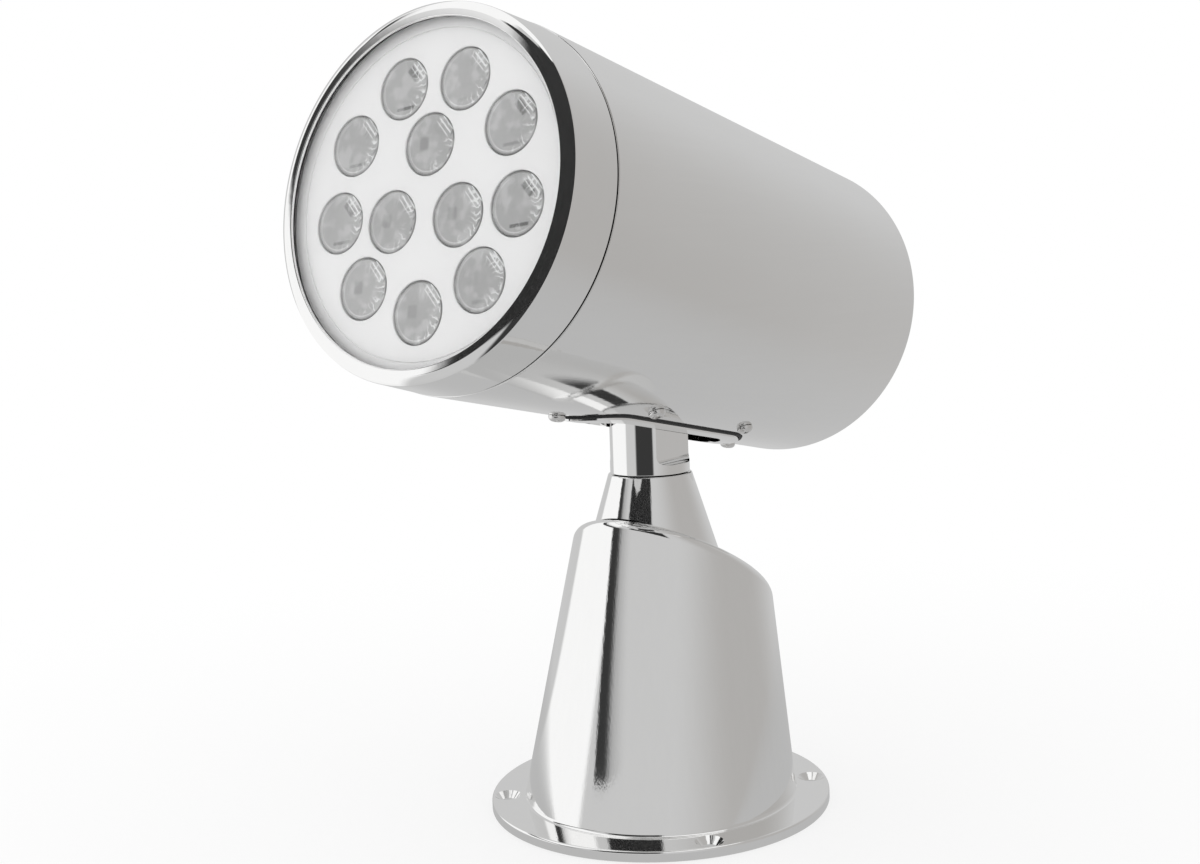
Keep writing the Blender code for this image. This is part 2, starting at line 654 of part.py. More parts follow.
def make_gear_plate():
    """Plate under the lugs that carries the lower bush and the pan motor."""
    pinion_hole = MOTOR_NOSE_RADIUS + GAP
    bush_hole = SHAFT_RADIUS + RUNNING_GAP + BUSH_WALL + GAP
    outline = []
    reach = GEAR_PLATE_RADIUS
    side = math.degrees(math.asin((LUG_RADIUS + 2 * PLATE_SHOULDER) / reach))
    pad = math.degrees(2 * math.asin(PAN_MOTOR_RADIUS / (2 * reach)))
    for degrees in LUG_ANGLES:
        angle = math.radians(degrees)
        tab = wall_reach(GEAR_PLATE_HEIGHT + GEAR_PLATE_THICKNESS + LUG_HEIGHT / 2, angle, LUG_RADIUS)
        middle = (tab * math.cos(angle), tab * math.sin(angle))
        outline += arc(middle, LUG_RADIUS - 3 * GAP, degrees - 90.0, degrees + 90.0, 8)
        if degrees == LUG_ANGLES[0]:
            outline += arc((0.0, 0.0), reach, degrees + side, 90.0 - pad, 4)
            outline += arc((0.0, PAN_CENTRES), PAN_MOTOR_RADIUS, 2 - pad / 2, 178 + pad / 2, 14)
            outline += arc((0.0, 0.0), reach, 90.0 + pad, degrees + 120.0 - side, 4)
        else:
            outline += arc((0.0, 0.0), reach, degrees + side, degrees + 120.0 - side, 10)
    low = GEAR_PLATE_HEIGHT
    outlines = [outline, circle(bush_hole, MEDIUM), circle(pinion_hole, MEDIUM, (0.0, PAN_CENTRES))]
    return extruded("gear_plate", outlines, low, low + GEAR_PLATE_THICKNESS, ALUMINIUM)


def involute_angle(radius, base):
    ratio = min(1.0, base / radius)
    pressure = math.acos(ratio)
    return math.tan(pressure) - pressure


def gear_outline(teeth, module):
    """Involute teeth, thinned for backlash, the first one centred on +X."""
    pitch = module * teeth / 2
    base = pitch * math.cos(math.radians(20.0))
    tip = pitch + 0.85 * module
    root = pitch - 1.15 * module
    half_tooth = 0.80 * math.pi * module / 4 / pitch
    at_pitch = involute_angle(pitch, base)
    radii = [root, pitch, tip]
    points = []
    for tooth in range(teeth):
        middle = 2 * math.pi * tooth / teeth
        flank = []
        for radius in radii:
            half = half_tooth + at_pitch - involute_angle(radius, base)
            flank.append((radius, half))
        for radius, half in flank:
            points.append((radius * math.cos(middle - half), radius * math.sin(middle - half)))
        for radius, half in reversed(flank):
            points.append((radius * math.cos(middle + half), radius * math.sin(middle + half)))
    return points


def make_pan_gear(parent):
    bore = SHAFT_RADIUS + GAP
    low = PAN_GEAR_HEIGHT
    outline = gear_outline(PAN_GEAR_TEETH, GEAR_MODULE)
    gear = extruded("pan_gear", [outline, circle(bore, MEDIUM)], low, low + PAN_GEAR_WIDTH, WHITE_NYLON)
    gear.data.transform(Matrix.Rotation(math.pi / 2, 4, "Z"))
    return place(gear, parent)


def make_pan_pinion():
    """Pinion and motor shaft in one, turned so that a gap faces the gear."""
    low = PAN_GEAR_HEIGHT
    pinion = extruded("pan_pinion", [gear_outline(PAN_PINION_TEETH, GEAR_MODULE)], low, low + PAN_GEAR_WIDTH, BRONZE)
    facing = -math.pi / 2 + math.pi / PAN_PINION_TEETH
    pinion.data.transform(Matrix.Rotation(facing, 4, "Z"))
    shaft_low = GEAR_PLATE_HEIGHT - 2 * MOTOR_NOSE_HEIGHT
    shaft = turned("pan_pinion_shaft", rod_profile(PINION_SHAFT_RADIUS, shaft_low, low + GAP), None, COARSE,
                   collection=CUTTERS)
    axis = add_empty("pan_pinion_axis", None, (0.0, PAN_CENTRES, 0.0))
    place(shaft, axis)
    place(pinion, axis)
    return boolean(pinion, shaft, "UNION")


def make_pan_motor():
    high = GEAR_PLATE_HEIGHT - GAP
    nose = GEAR_PLATE_HEIGHT + MOTOR_NOSE_HEIGHT
    edge = PAN_MOTOR_RADIUS - MOTOR_CHAMFER
    profile = [
        (PINION_SHAFT_RADIUS + RUNNING_GAP, nose),
        (MOTOR_NOSE_RADIUS, nose),
        (MOTOR_NOSE_RADIUS, high),
        (edge, high),
        (PAN_MOTOR_RADIUS, high - MOTOR_CHAMFER),
        (PAN_MOTOR_RADIUS, high - PAN_MOTOR_LENGTH + MOTOR_CHAMFER),
        (edge, high - PAN_MOTOR_LENGTH),
        (0.0, high - PAN_MOTOR_LENGTH),
    ]
    floor = GEAR_PLATE_HEIGHT - 2 * MOTOR_NOSE_HEIGHT - GAP
    profile = [(0.0, floor), (PINION_SHAFT_RADIUS + RUNNING_GAP, floor)] + profile
    motor = turned("pan_motor", profile, SCREW_STEEL, MEDIUM)
    return place(motor, None, (0.0, PAN_CENTRES, 0.0))


def make_base_cover():
    low = 0.0
    cover = turned("base_cover", rod_profile(COVER_RADIUS, low, COVER_THICKNESS), BRUSHED, FINE)
    cut_round(cover, "gland_hole", GLAND_RADIUS + GAP, -COVER_THICKNESS, 2 * COVER_THICKNESS, None,
              (GLAND_OFFSET, 0.0, 0.0), steps=MEDIUM)
    for i, angle in enumerate(cover_screw_angles()):
        cutter = turned(f"cover_countersink_{i}", screw_cone(GAP), None, SMALL, collection=CUTTERS)
        place(cutter, None, polar(COVER_SCREW_PITCH, angle))
        boolean(cover, cutter)
    for i, (x, y) in enumerate(board_corners()):
        profile = rod_profile(BOARD_POST_RADIUS, low + GAP, COVER_THICKNESS + BOARD_POST_HEIGHT)
        post = turned(f"board_post_{i}", profile, None, HOLE_SIDES, collection=CUTTERS)
        place(post, None, (x, y, 0.0))
        boolean(cover, post, "UNION")
    return cover


def screw_cone(clearance):
    """Countersunk head and shank of a cover screw, seen from below, with a clearance."""
    head_low = GAP
    cone_apex = head_low + COVER_SCREW_HEAD + 1.5 * clearance
    shank = COVER_SCREW_RADIUS + clearance
    low = head_low - 2 * clearance
    tip = COVER_SCREW_LENGTH + clearance
    return [(0.0, tip), (shank, tip), (shank, cone_apex - shank), (cone_apex - low, low), (0.0, low)]


def make_cover_screws():
    for i, angle in enumerate(cover_screw_angles()):
        screw = turned(f"cover_screw_{i + 1}", screw_cone(0.0), SCREW_STEEL, SMALL)
        place(screw, None, polar(COVER_SCREW_PITCH, angle))


def board_corners():
    half_x = CONTROL_BOARD_LENGTH / 2 - 2 * BOARD_POST_RADIUS
    half_y = CONTROL_BOARD_WIDTH / 2 - 2 * BOARD_POST_RADIUS
    corners = [(-half_x, -half_y), (half_x, -half_y), (half_x, half_y), (-half_x, half_y)]
    return [(x, y + CONTROL_BOARD_CENTRE_Y) for x, y in corners]


def make_control_board():
    low = COVER_THICKNESS + BOARD_POST_HEIGHT + GAP
    board = block("control_board", (CONTROL_BOARD_LENGTH, CONTROL_BOARD_WIDTH, BOARD_THICKNESS),
                  (0.0, CONTROL_BOARD_CENTRE_Y, low + BOARD_THICKNESS / 2), BOARD_GREEN)
    high = low + BOARD_THICKNESS
    shapes = (("relay_a", -0.26, 0.26, 0.20), ("relay_b", 0.065, 0.26, 0.20), ("radio", 0.34, 0.17, 0.09))
    for name, *shares in shapes:
        x, size, rise = [CONTROL_BOARD_LENGTH * share for share in shares]
        chip = block(name, (size, size, rise + BOARD_THICKNESS / 2),
                     (x, CONTROL_BOARD_CENTRE_Y, high + rise / 2 - BOARD_THICKNESS / 4), None, CUTTERS)
        boolean(board, chip, "UNION")
    return board


def make_cable_gland():
    low = GAP
    seat = COVER_THICKNESS + GAP
    profile = [
        (GLAND_BORE, seat + GLAND_HEIGHT),
        (GLAND_RADIUS - GLAND_CHAMFER, seat + GLAND_HEIGHT),
        (GLAND_RADIUS, seat + GLAND_HEIGHT - 2 * GLAND_CHAMFER),
        (GLAND_RADIUS, seat + GLAND_NUT_HEIGHT),
        (GLAND_COLLAR, seat + GLAND_NUT_HEIGHT),
        (GLAND_COLLAR, seat),
        (GLAND_RADIUS, seat),
        (GLAND_RADIUS, low),
        (GLAND_BORE, low),
    ]
    gland = turned("cable_gland", profile, BLACK_PLASTIC, MEDIUM, ring=True)
    return place(gland, None, (GLAND_OFFSET, 0.0, 0.0))


def make_stem(parent):
    """Stem, its shaft and the flat-sided tongue, turned from one bar and milled."""
    low = PAN_SEAM_HEIGHT + GAP
    tail = GEAR_PLATE_HEIGHT - SHAFT_TAIL
    profile = arc((0.0, TILT_AXIS_HEIGHT), STEM_RADIUS, 90.0, 0.0, 4)
    profile[0] = (0.0, TILT_AXIS_HEIGHT + STEM_RADIUS)
    profile += [(STEM_RADIUS, low), (SHAFT_RADIUS, low), (SHAFT_RADIUS, tail), (0.0, tail)]
    stem = turned("stem", profile, POLISHED, FINE)
    place(stem, parent)
    high = TILT_AXIS_HEIGHT + 2 * STEM_RADIUS
    for i, side in enumerate((1.0, -1.0)):
        near = side * TONGUE_HALF_WIDTH
        far = side * 2 * STEM_RADIUS
        corner = (near + side * FLAT_FILLET, FLAT_HEIGHT + FLAT_FILLET)
        sweep = (180.0, 270.0) if side > 0 else (0.0, -90.0)
        outline = [(far, high), (near, high)] + arc(corner, FLAT_FILLET, sweep[0], sweep[1], 6)
        outline.append((far, FLAT_HEIGHT))
        upright = Matrix.Rotation(math.pi / 2, 4, "X")
        cutter = extruded(f"flat_cutter_{i}", [outline], -high / 4, high / 4, None, CUTTERS, upright)
        place(cutter, parent)
        boolean(stem, cutter)
    cut_round(stem, "pin_hole", PIN_RADIUS + GAP, -2 * STEM_RADIUS, 2 * STEM_RADIUS, parent,
              (0.0, 0.0, TILT_AXIS_HEIGHT), ALONG_PIN, MEDIUM)
    exit_height = TILT_AXIS_HEIGHT - WIRE_EXIT_DROP
    cut_round(stem, "wire_bore", WIRE_BORE_RADIUS, tail - GAP, exit_height, parent, steps=COARSE)
    cut_round(stem, "wire_exit", WIRE_BORE_RADIUS, -2 * STEM_RADIUS, 0.0, parent, (0.0, 0.0, exit_height),
              ALONG_BARREL, COARSE)
    return welded(stem)


def make_shaft_nut(parent):
    across = NUT_ACROSS_FLATS / math.sqrt(3)
    high = GEAR_PLATE_HEIGHT - GAP
    bore = circle(SHAFT_RADIUS + GAP, MEDIUM)
    nut = extruded("shaft_nut", [circle(across, 6), bore], high - NUT_HEIGHT, high, SCREW_STEEL)
    return place(nut, parent)


def make_tilt_pin(parent):
    low = -EAR_REACH - CLIP_THICKNESS - 4 * GAP - PIN_TAIL
    high = TILT_GEAR_STATION + TILT_GEAR_WIDTH
    profile = [
        (0.0, high),
        (PIN_RADIUS - PIN_CHAMFER, high),
        (PIN_RADIUS, high - PIN_CHAMFER),
        (PIN_RADIUS, low + PIN_CHAMFER),
        (PIN_RADIUS - PIN_CHAMFER, low),
        (0.0, low),
    ]
    place(turned("tilt_pin", profile, SCREW_STEEL, MEDIUM), parent, (0.0, 0.0, TILT_AXIS_HEIGHT), ALONG_PIN)
    clip_high = -EAR_REACH - 2 * GAP
    clip = turned("pin_clip", tube_profile(PIN_RADIUS + GAP, PIN_RADIUS + CLIP_WIDTH, clip_high - CLIP_THICKNESS,
                                           clip_high), SCREW_STEEL, MEDIUM, ring=True)
    place(clip, parent, (0.0, 0.0, TILT_AXIS_HEIGHT), ALONG_PIN)


def make_tilt_gear(parent):
    """Wheel fixed to the pin: a tooth points at the pinion, which stands above it on the level head."""
    low = TILT_GEAR_STATION
    outlines = [gear_outline(TILT_GEAR_TEETH, TILT_MODULE), circle(PIN_RADIUS + GAP, MEDIUM)]
    gear = extruded("tilt_gear", outlines, low, low + TILT_GEAR_WIDTH, WHITE_NYLON)
    upward = math.pi - HEAD_LIFT
    gear.data.transform(Matrix.Rotation(upward, 4, "Z"))
    return place(gear, parent, (0.0, 0.0, TILT_AXIS_HEIGHT), ALONG_PIN)


def head_turned(name, profile, material, parent, steps=MEDIUM, ring=False, collection=None):
    """A turned piece on the barrel's axis; heights are stations ahead of the tilt axis."""
    obj = turned(name, profile, material, steps, ring, collection)
    return place(obj, parent, (0.0, 0.0, BARREL_RISE), ALONG_BARREL)


def saddle_screws():
    """Angle round the barrel from its lowest line, and distance behind the tilt axis."""
    places = []
    for side in (1.0, -1.0):
        for end in (-1.0, 1.0):
            places.append((side * SADDLE_SCREW_ANGLE, SLOT_CENTRE + end * SADDLE_SCREW_SPREAD))
    places.append((0.0, SLOT_CENTRE - SADDLE_SCREW_END))
    places.append((0.0, SLOT_CENTRE + SADDLE_SCREW_END))
    return places


def rear_screw_angles():
    return [math.radians(45.0) + 2 * math.pi * i / CAP_SCREW_COUNT for i in range(CAP_SCREW_COUNT)]


def rear_screw_pitch():
    return BARREL_INNER - GAP - CAP_BOSS_RADIUS - CAP_BOSS_CLEARANCE


def make_barrel_tube(head):
    seam = SEAM_STATION - SEAM_GAP
    ledge_inner = NECK_INNER - SINK_LEDGE
    neck_root = seam - LEDGE_LENGTH
    profile = [
        (NECK_RADIUS - BARREL_END_CHAMFER, SPIGOT_STATION),
        (NECK_RADIUS, SPIGOT_STATION - BARREL_END_CHAMFER),
        (NECK_RADIUS, seam),
        (BARREL_RADIUS - SEAM_CHAMFER, seam),
        (BARREL_RADIUS, seam - SEAM_CHAMFER),
        (BARREL_RADIUS, -REAR_BEHIND + BARREL_END_CHAMFER),
        (BARREL_RADIUS - BARREL_END_CHAMFER, -REAR_BEHIND),
        (BARREL_INNER, -REAR_BEHIND),
        (BARREL_INNER, neck_root - LEDGE_LENGTH),
        (ledge_inner, min(neck_root, LEDGE_STATION - LEDGE_LENGTH)),
        (ledge_inner, LEDGE_STATION),
        (NECK_INNER, LEDGE_STATION),
        (NECK_INNER, SPIGOT_STATION),
    ]
    barrel = head_turned("barrel_tube", profile, BRUSHED, head, FINE, ring=True)
    reach = RIM_HALF_WIDTH + SADDLE_LIP + 2 * GAP
    length = RIM_HALF_LENGTH + SADDLE_LIP + 2 * GAP
    opening = extruded("barrel_slot", [stadium(reach, length, SLOT_CENTRE)], -BARREL_RADIUS, 0.0, None, CUTTERS)
    place(opening, head)
    boolean(barrel, opening)
    for i, (angle, along) in enumerate(saddle_screws()):
        hole = cutter_rod(f"saddle_hole_{i}", SCREW_RADIUS + GAP, BARREL_INNER - CUT_REACH, BARREL_RADIUS + CUT_REACH)
        boolean(barrel, place_radial(hole, head, angle, along))
    for i, angle in enumerate(rear_screw_angles()):
        low = CAP_STATION + CAP_RIM_THICKNESS + 2 * GAP + 2 * REAR_SEAL_SECTION
        boss = turned(f"cap_boss_{i}", rod_profile(CAP_BOSS_RADIUS, low, low + CAP_BOSS_LENGTH), None, COARSE,
                      collection=CUTTERS)
        reach = rear_screw_pitch() + CAP_BOSS_SINK
        x, z = reach * math.cos(angle), reach * math.sin(angle)
        place(boss, head, (x, 0.0, BARREL_RISE + z), ALONG_BARREL)
        boolean(barrel, boss, "UNION")
        x, z = rear_screw_pitch() * math.cos(angle), rear_screw_pitch() * math.sin(angle)
        hole = cutter_rod(f"cap_hole_{i}", SCREW_RADIUS + GAP, low - GAP, low + SCREW_SHANK)
        place(hole, head, (x, 0.0, BARREL_RISE + z), ALONG_BARREL)
        boolean(barrel, hole)
    return welded(barrel)


def cutter_rod(name, radius, low, high, steps=HOLE_SIDES):
    return turned(name, rod_profile(radius, low, high), None, steps, collection=CUTTERS)


def place_radial(obj, head, angle, along):
    """Stand a piece on the barrel's underside: its height is a radius of the barrel."""
    return place(obj, head, (0.0, along, BARREL_RISE), (math.pi, -angle, 0.0))


def make_front_bezel(head):
    seam = SEAM_STATION
    face = FACE_AHEAD
    pocket = MOUTH_RADIUS + GLASS_SEAT
    front = BEZEL_FRONT_RADIUS
    profile = arc((front - BEZEL_EDGE_RADIUS, face - BEZEL_EDGE_RADIUS), BEZEL_EDGE_RADIUS, 90.0, 0.0, 3)
    profile += [
        (BARREL_RADIUS - SEAM_CHAMFER / 2, seam + SEAM_CHAMFER),
        (BARREL_RADIUS - 3 * SEAM_CHAMFER / 2, seam),
        (NECK_RADIUS + GAP, seam),
        (NECK_RADIUS + GAP, SPIGOT_STATION + GAP),
        (pocket, SPIGOT_STATION + GAP),
        (pocket, LIP_STATION),
        (MOUTH_RADIUS, LIP_STATION),
        (MOUTH_RADIUS, face),
    ]
    return head_turned("front_bezel", profile, POLISHED, head, FINE, ring=True)


def make_front_stack(head):
    """Gasket, window and reflector plate between the bezel's lip and the barrel's neck."""
    high = GASKET_STATION
    gasket = tube_profile(MOUTH_RADIUS + GAP, GLASS_RADIUS, high - FRONT_GASKET_THICKNESS, high)
    head_turned("front_gasket", gasket, BLACK_RUBBER, head, FINE, ring=True)
    high = GLASS_STATION
    head_turned("front_glass", rod_profile(GLASS_RADIUS, high - GLASS_THICKNESS, high), CLEAR_GLASS, head, FINE)
    outlines = [circle(GLASS_RADIUS, FINE)]
    for x, y in led_places():
        outlines.append(circle(LED_OPENING_RADIUS, MEDIUM, (x, y)))
    plate = extruded("reflector_plate", outlines, PLATE_STATION - PLATE_THICKNESS, PLATE_STATION, WHITE_PLATE)
    place(plate, head, (0.0, 0.0, BARREL_RISE), ALONG_BARREL)


def led_places():
    """LED centres in the plate's own plane, X across and Y up, ring by ring from the top."""
    places = []
    for count, radius, first in (
        (OUTER_LED_COUNT, OUTER_LED_RADIUS, math.pi / OUTER_LED_COUNT),
        (INNER_LED_COUNT, INNER_LED_RADIUS, 0.0),
    ):
        for i in range(count):
            angle = math.pi / 2 - (first + 2 * math.pi * i / count + LED_MODULE_TURN)
            places.append((radius * math.cos(angle), radius * math.sin(angle)))
    return places


def make_led_lenses(head):
    rim = LED_OPENING_RADIUS - GAP
    high = LENS_STATION
    low = high - LENS_DEPTH
    shoulder = PLATE_STATION - PLATE_THICKNESS - GAP
    profile = [
        (0.0, high),
        (rim, high),
        (rim, shoulder),
        (LED_OPENING_RADIUS - LENS_SHOULDER, shoulder - LENS_RIM),
        (LENS_FOOT_RADIUS, low),
        (LENS_POCKET_RADIUS, low),
        (LENS_POCKET_RADIUS, low + LENS_POCKET_DEPTH),
        (0.0, low + LENS_POCKET_DEPTH),
    ]
    for i, (x, y) in enumerate(led_places()):
        lens = turned(f"led_lens_{i + 1:02d}", profile, LENS_PLASTIC, COARSE)
        place(lens, head, (x, 0.0, BARREL_RISE + y), ALONG_BARREL)


def make_led_board(head):
    high = BOARD_STATION - CHIP_HEIGHT
    profile = rod_profile(NECK_INNER - 2 * GAP, high - BOARD_THICKNESS, high)
    board = head_turned("led_board", profile, WHITE_PLATE, head, MEDIUM)
    for i, (x, y) in enumerate(led_places()):
        chip = block(f"led_chip_{i}", (CHIP_SIZE, CHIP_SIZE, 2 * CHIP_HEIGHT), (x, y, high), None, CUTTERS)
        place(chip, head, (0.0, 0.0, BARREL_RISE), ALONG_BARREL)
        boolean(board, chip, "UNION")
    return board


def make_heat_sink(head):
    high = SINK_STATION
    low = high - SINK_BASE
    sink = head_turned("heat_sink", rod_profile(NECK_INNER - 2 * GAP, low, high), ALUMINIUM, head, MEDIUM)
    inside = NECK_INNER - SINK_LEDGE - 4 * GAP
    for i in range(FIN_COUNT):
        across = (i - (FIN_COUNT - 1) / 2) * FIN_PITCH
        reach = math.sqrt(max(inside ** 2 - (abs(across) + FIN_THICKNESS / 2) ** 2, (2 * FIN_THICKNESS) ** 2))
        fin = block(f"fin_{i}", (FIN_THICKNESS, 2 * reach, FIN_LENGTH + SINK_BASE / 2),
                    (across, 0.0, low + SINK_BASE / 2 - (FIN_LENGTH + SINK_BASE / 2) / 2), None, CUTTERS)
        place(fin, head, (0.0, 0.0, BARREL_RISE), ALONG_BARREL)
        boolean(sink, fin, "UNION")
    return sink


def make_driver_board(head):
    high = SINK_STATION - SINK_BASE - FIN_LENGTH - GAP
    profile = rod_profile(DRIVER_RADIUS, high - BOARD_THICKNESS, high)
    driver = head_turned("driver_board", profile, BOARD_GREEN, head, MEDIUM)
    shapes = (("coil", 0.39, 0.28, 0.39, 0.25), ("switcher", -0.33, 0.33, 0.28, 0.11),
              ("capacitor", -0.11, -0.39, 0.33, 0.33))
    for name, *shares in shapes:
        x, y, size, rise = [DRIVER_RADIUS * share for share in shares]
        chip = block(name, (size, size, rise + BOARD_THICKNESS / 2),
                     (x, y, high - BOARD_THICKNESS - rise / 2 + BOARD_THICKNESS / 4), None, CUTTERS)
        place(chip, head, (0.0, 0.0, BARREL_RISE), ALONG_BARREL)
        boolean(driver, chip, "UNION")
    return driver


def make_rear_cap(head):
    """Shallow dome set into the barrel's end, held by screws near its rim."""
    rim = BARREL_INNER - GAP
    low = CAP_STATION
    high = low + CAP_RIM_THICKNESS
    sag = CAP_DOME
    dome_radius = (CAP_DOME_RADIUS ** 2 + sag ** 2) / (2 * sag)
    outer = []
    steps = 3
    for i in range(steps + 1):
        radius = CAP_DOME_RADIUS * (1 - i / steps)
        rise = math.sqrt(dome_radius ** 2 - radius ** 2) - (dome_radius - sag)
        outer.append((radius, low - rise))
    inner = [(radius, height + CAP_RIM_THICKNESS) for radius, height in reversed(outer)]
    profile = inner + [(rim, high), (rim, low + CAP_EDGE), (rim - CAP_EDGE, low)] + outer
    cap = head_turned("rear_cap", profile, POLISHED, head, FINE)
    for i, angle in enumerate(rear_screw_angles()):
        x, z = rear_screw_pitch() * math.cos(angle), rear_screw_pitch() * math.sin(angle)
        hole = cutter_rod(f"cap_through_{i}", SCREW_RADIUS + GAP, low - CUT_REACH / 2, high + CUT_REACH / 2)
        place(hole, head, (x, 0.0, BARREL_RISE + z), ALONG_BARREL)
        boolean(cap, hole)
        screw = turned(f"rear_screw_{i + 1}", pan_head(low - GAP, -1.0), SCREW_STEEL, SMALL)
        place(screw, head, (x, 0.0, BARREL_RISE + z), ALONG_BARREL)
    station = high + GAP + REAR_SEAL_SECTION
    seal = ring_of("rear_seal", rear_screw_pitch() - CAP_BOSS_RADIUS, REAR_SEAL_SECTION, station, BLACK_RUBBER)
    place(seal, head, (0.0, 0.0, BARREL_RISE), ALONG_BARREL)


def pan_head(seat, out):
    """Pan head screw: the head stands out from its seat, the shank goes the other way."""
    top = SCREW_HEAD_HEIGHT
    points = [
        (0.0, top),
        (SCREW_HEAD_RADIUS * 0.55, top * 0.94),
        (SCREW_HEAD_RADIUS * 0.90, top * 0.62),
        (SCREW_HEAD_RADIUS, top * 0.25),
        (SCREW_HEAD_RADIUS, 0.0),
        (SCREW_RADIUS, 0.0),
        (SCREW_RADIUS, -SCREW_SHANK),
        (0.0, -SCREW_SHANK),
    ]
    if out < 0:
        points = [(radius, -height) for radius, height in reversed(points)]
    return [(radius, seat + height) for radius, height in points]


def make_saddle_screws(head):
    for i, (angle, along) in enumerate(saddle_screws()):
        screw = turned(f"saddle_screw_{i + 1}", pan_head(BARREL_RADIUS + GAP, 1.0), SCREW_STEEL, SMALL)
        place_radial(screw, head, angle, along)


def curved_sheet(name, outlines, inner, outer, head, material=None, collection=None):
    """A sheet wrapped on the barrel's underside, with the given outline seen from below."""
    sheet = extruded(name, outlines, -2 * BARREL_RADIUS + BARREL_RISE, 0.0, material, collection)
    place(sheet, head)
    tube = head_turned(name + "_tube", tube_profile(inner, outer, -2 * BARREL_RADIUS, 2 * BARREL_RADIUS), None, head,
                       FINE, ring=True, collection=CUTTERS)
    return boolean(sheet, tube, "INTERSECT")


def saddle_outline(grow):
    return stadium(RIM_HALF_WIDTH + grow, RIM_HALF_LENGTH + grow, SLOT_CENTRE)


def saddle_flange_outline():
    half_width = RIM_HALF_WIDTH + SADDLE_FLANGE_SIDE
    half_length = RIM_HALF_LENGTH + SADDLE_FLANGE_END
    corner = half_width * SADDLE_CORNER_SHARE
    x, y = half_width - corner, half_length - corner
    outline = arc((x, SLOT_CENTRE + y), corner, 0.0, 90.0, 5)
    outline += arc((-x, SLOT_CENTRE + y), corner, 90.0, 180.0, 5)
    outline += arc((-x, SLOT_CENTRE - y), corner, 180.0, 270.0, 5)
    outline += arc((x, SLOT_CENTRE - y), corner, 270.0, 360.0, 5)
    return outline


def pocket_outline(grow, floor):
    """Side view of the pocket in which the tongue swings: (along, height)."""
    front = SLOT_CENTRE - SLOT_HALF_LENGTH - grow
    rear = SLOT_CENTRE + SLOT_HALF_LENGTH + grow
    roof = STEM_RADIUS + POCKET_CLEARANCE + grow
    top = POCKET_TOP_HALF + grow
    return [
        (front, floor),
        (rear, floor),
        (rear, POCKET_SHOULDER + grow / 2),
        (top, roof),
        (-top, roof),
        (front, POCKET_SHOULDER + grow / 2),
    ]


def pocket_solid(name, grow, half_width, floor, head):
    """The pocket's side view, extruded across the head."""
    across = Matrix(((0, 0, 1, 0), (1, 0, 0, 0), (0, 1, 0, 0), (0, 0, 0, 1)))
    solid = extruded(name, [pocket_outline(grow, floor)], -half_width, half_width, None, CUTTERS, across)
    return place(solid, head)


def make_tilt_housing(head):
    """Pocket inside the barrel with the tilt bearings, and the rim that shows round the slot."""
    flange_outer = BARREL_INNER - GAP - SADDLE_GASKET - GAP
    flange_inner = flange_outer - SADDLE_FLANGE
    housing = curved_sheet("tilt_housing", [saddle_flange_outline()], flange_inner, flange_outer, head, ALUMINIUM)
    rim = curved_sheet("slot_rim", [saddle_outline(0.0)], flange_inner + OVERLAP, BARREL_RADIUS + RIM_PROUD, head,
                       None, CUTTERS)
    boolean(housing, rim, "UNION")
    half_width = SLOT_HALF_WIDTH + POCKET_WALL
    floor_outer = BARREL_RISE - math.sqrt((flange_outer - SADDLE_FLANGE / 4) ** 2 - half_width ** 2)
    boolean(housing, pocket_solid("pocket_outside", POCKET_WALL, half_width, floor_outer, head), "UNION")
    for i, side in enumerate((1.0, -1.0)):
        low = SLOT_HALF_WIDTH + POCKET_WALL / 2
        ear = turned(f"ear_{i}", rod_profile(EAR_RADIUS, low, EAR_REACH), None, MEDIUM, collection=CUTTERS)
        place(ear, head, (0.0, 0.0, 0.0), (0.0, side * math.pi / 2, 0.0))
        boolean(housing, ear, "UNION")
    floor_inner = BARREL_RISE - math.sqrt(flange_inner ** 2 - SLOT_HALF_WIDTH ** 2)
    boolean(housing, pocket_solid("pocket_inside", 0.0, SLOT_HALF_WIDTH, floor_inner - OVERLAP, head))
    slot = extruded("slot_cutter", [stadium(SLOT_HALF_WIDTH - SLOT_STEP, SLOT_HALF_LENGTH, SLOT_CENTRE)],
                    -BARREL_RADIUS, floor_inner + 2 * OVERLAP, None, CUTTERS)
    boolean(housing, place(slot, head))
    bore = PIN_RADIUS + RUNNING_GAP + TILT_BUSH_WALL + GAP
    cut_round(housing, "ear_bore", bore, -2 * EAR_REACH, 2 * EAR_REACH, head, (0.0, 0.0, 0.0), ALONG_PIN, MEDIUM)
    for i, (angle, along) in enumerate(saddle_screws()):
        hole = cutter_rod(f"saddle_tapped_{i}", SCREW_RADIUS + GAP, flange_inner - CUT_REACH, BARREL_RADIUS)
        place_radial(hole, head, angle, along)
        boolean(housing, hole)
    return housing


def make_saddle_gasket(head):
    """Rubber between the barrel and the housing's flange, with the lip that shows round the rim."""
    outer = BARREL_INNER - GAP
    gasket = curved_sheet("saddle_gasket", [saddle_flange_outline()], outer - SADDLE_GASKET, outer, head, BLACK_RUBBER)
    lip = curved_sheet("gasket_lip", [saddle_outline(GAP + SADDLE_LIP)], outer - SADDLE_GASKET / 2,
                       BARREL_RADIUS + RIM_PROUD / 2, head, None, CUTTERS)
    boolean(gasket, lip, "UNION")
    opening = extruded("gasket_opening", [saddle_outline(GAP)], -BARREL_RADIUS, 0.0, None, CUTTERS)
    boolean(gasket, place(opening, head))
    for i, (angle, along) in enumerate(saddle_screws()):
        hole = cutter_rod(f"gasket_hole_{i}", SCREW_RADIUS + GAP, outer - CUT_REACH, BARREL_RADIUS)
        place_radial(hole, head, angle, along)
        boolean(gasket, hole)
    return gasket


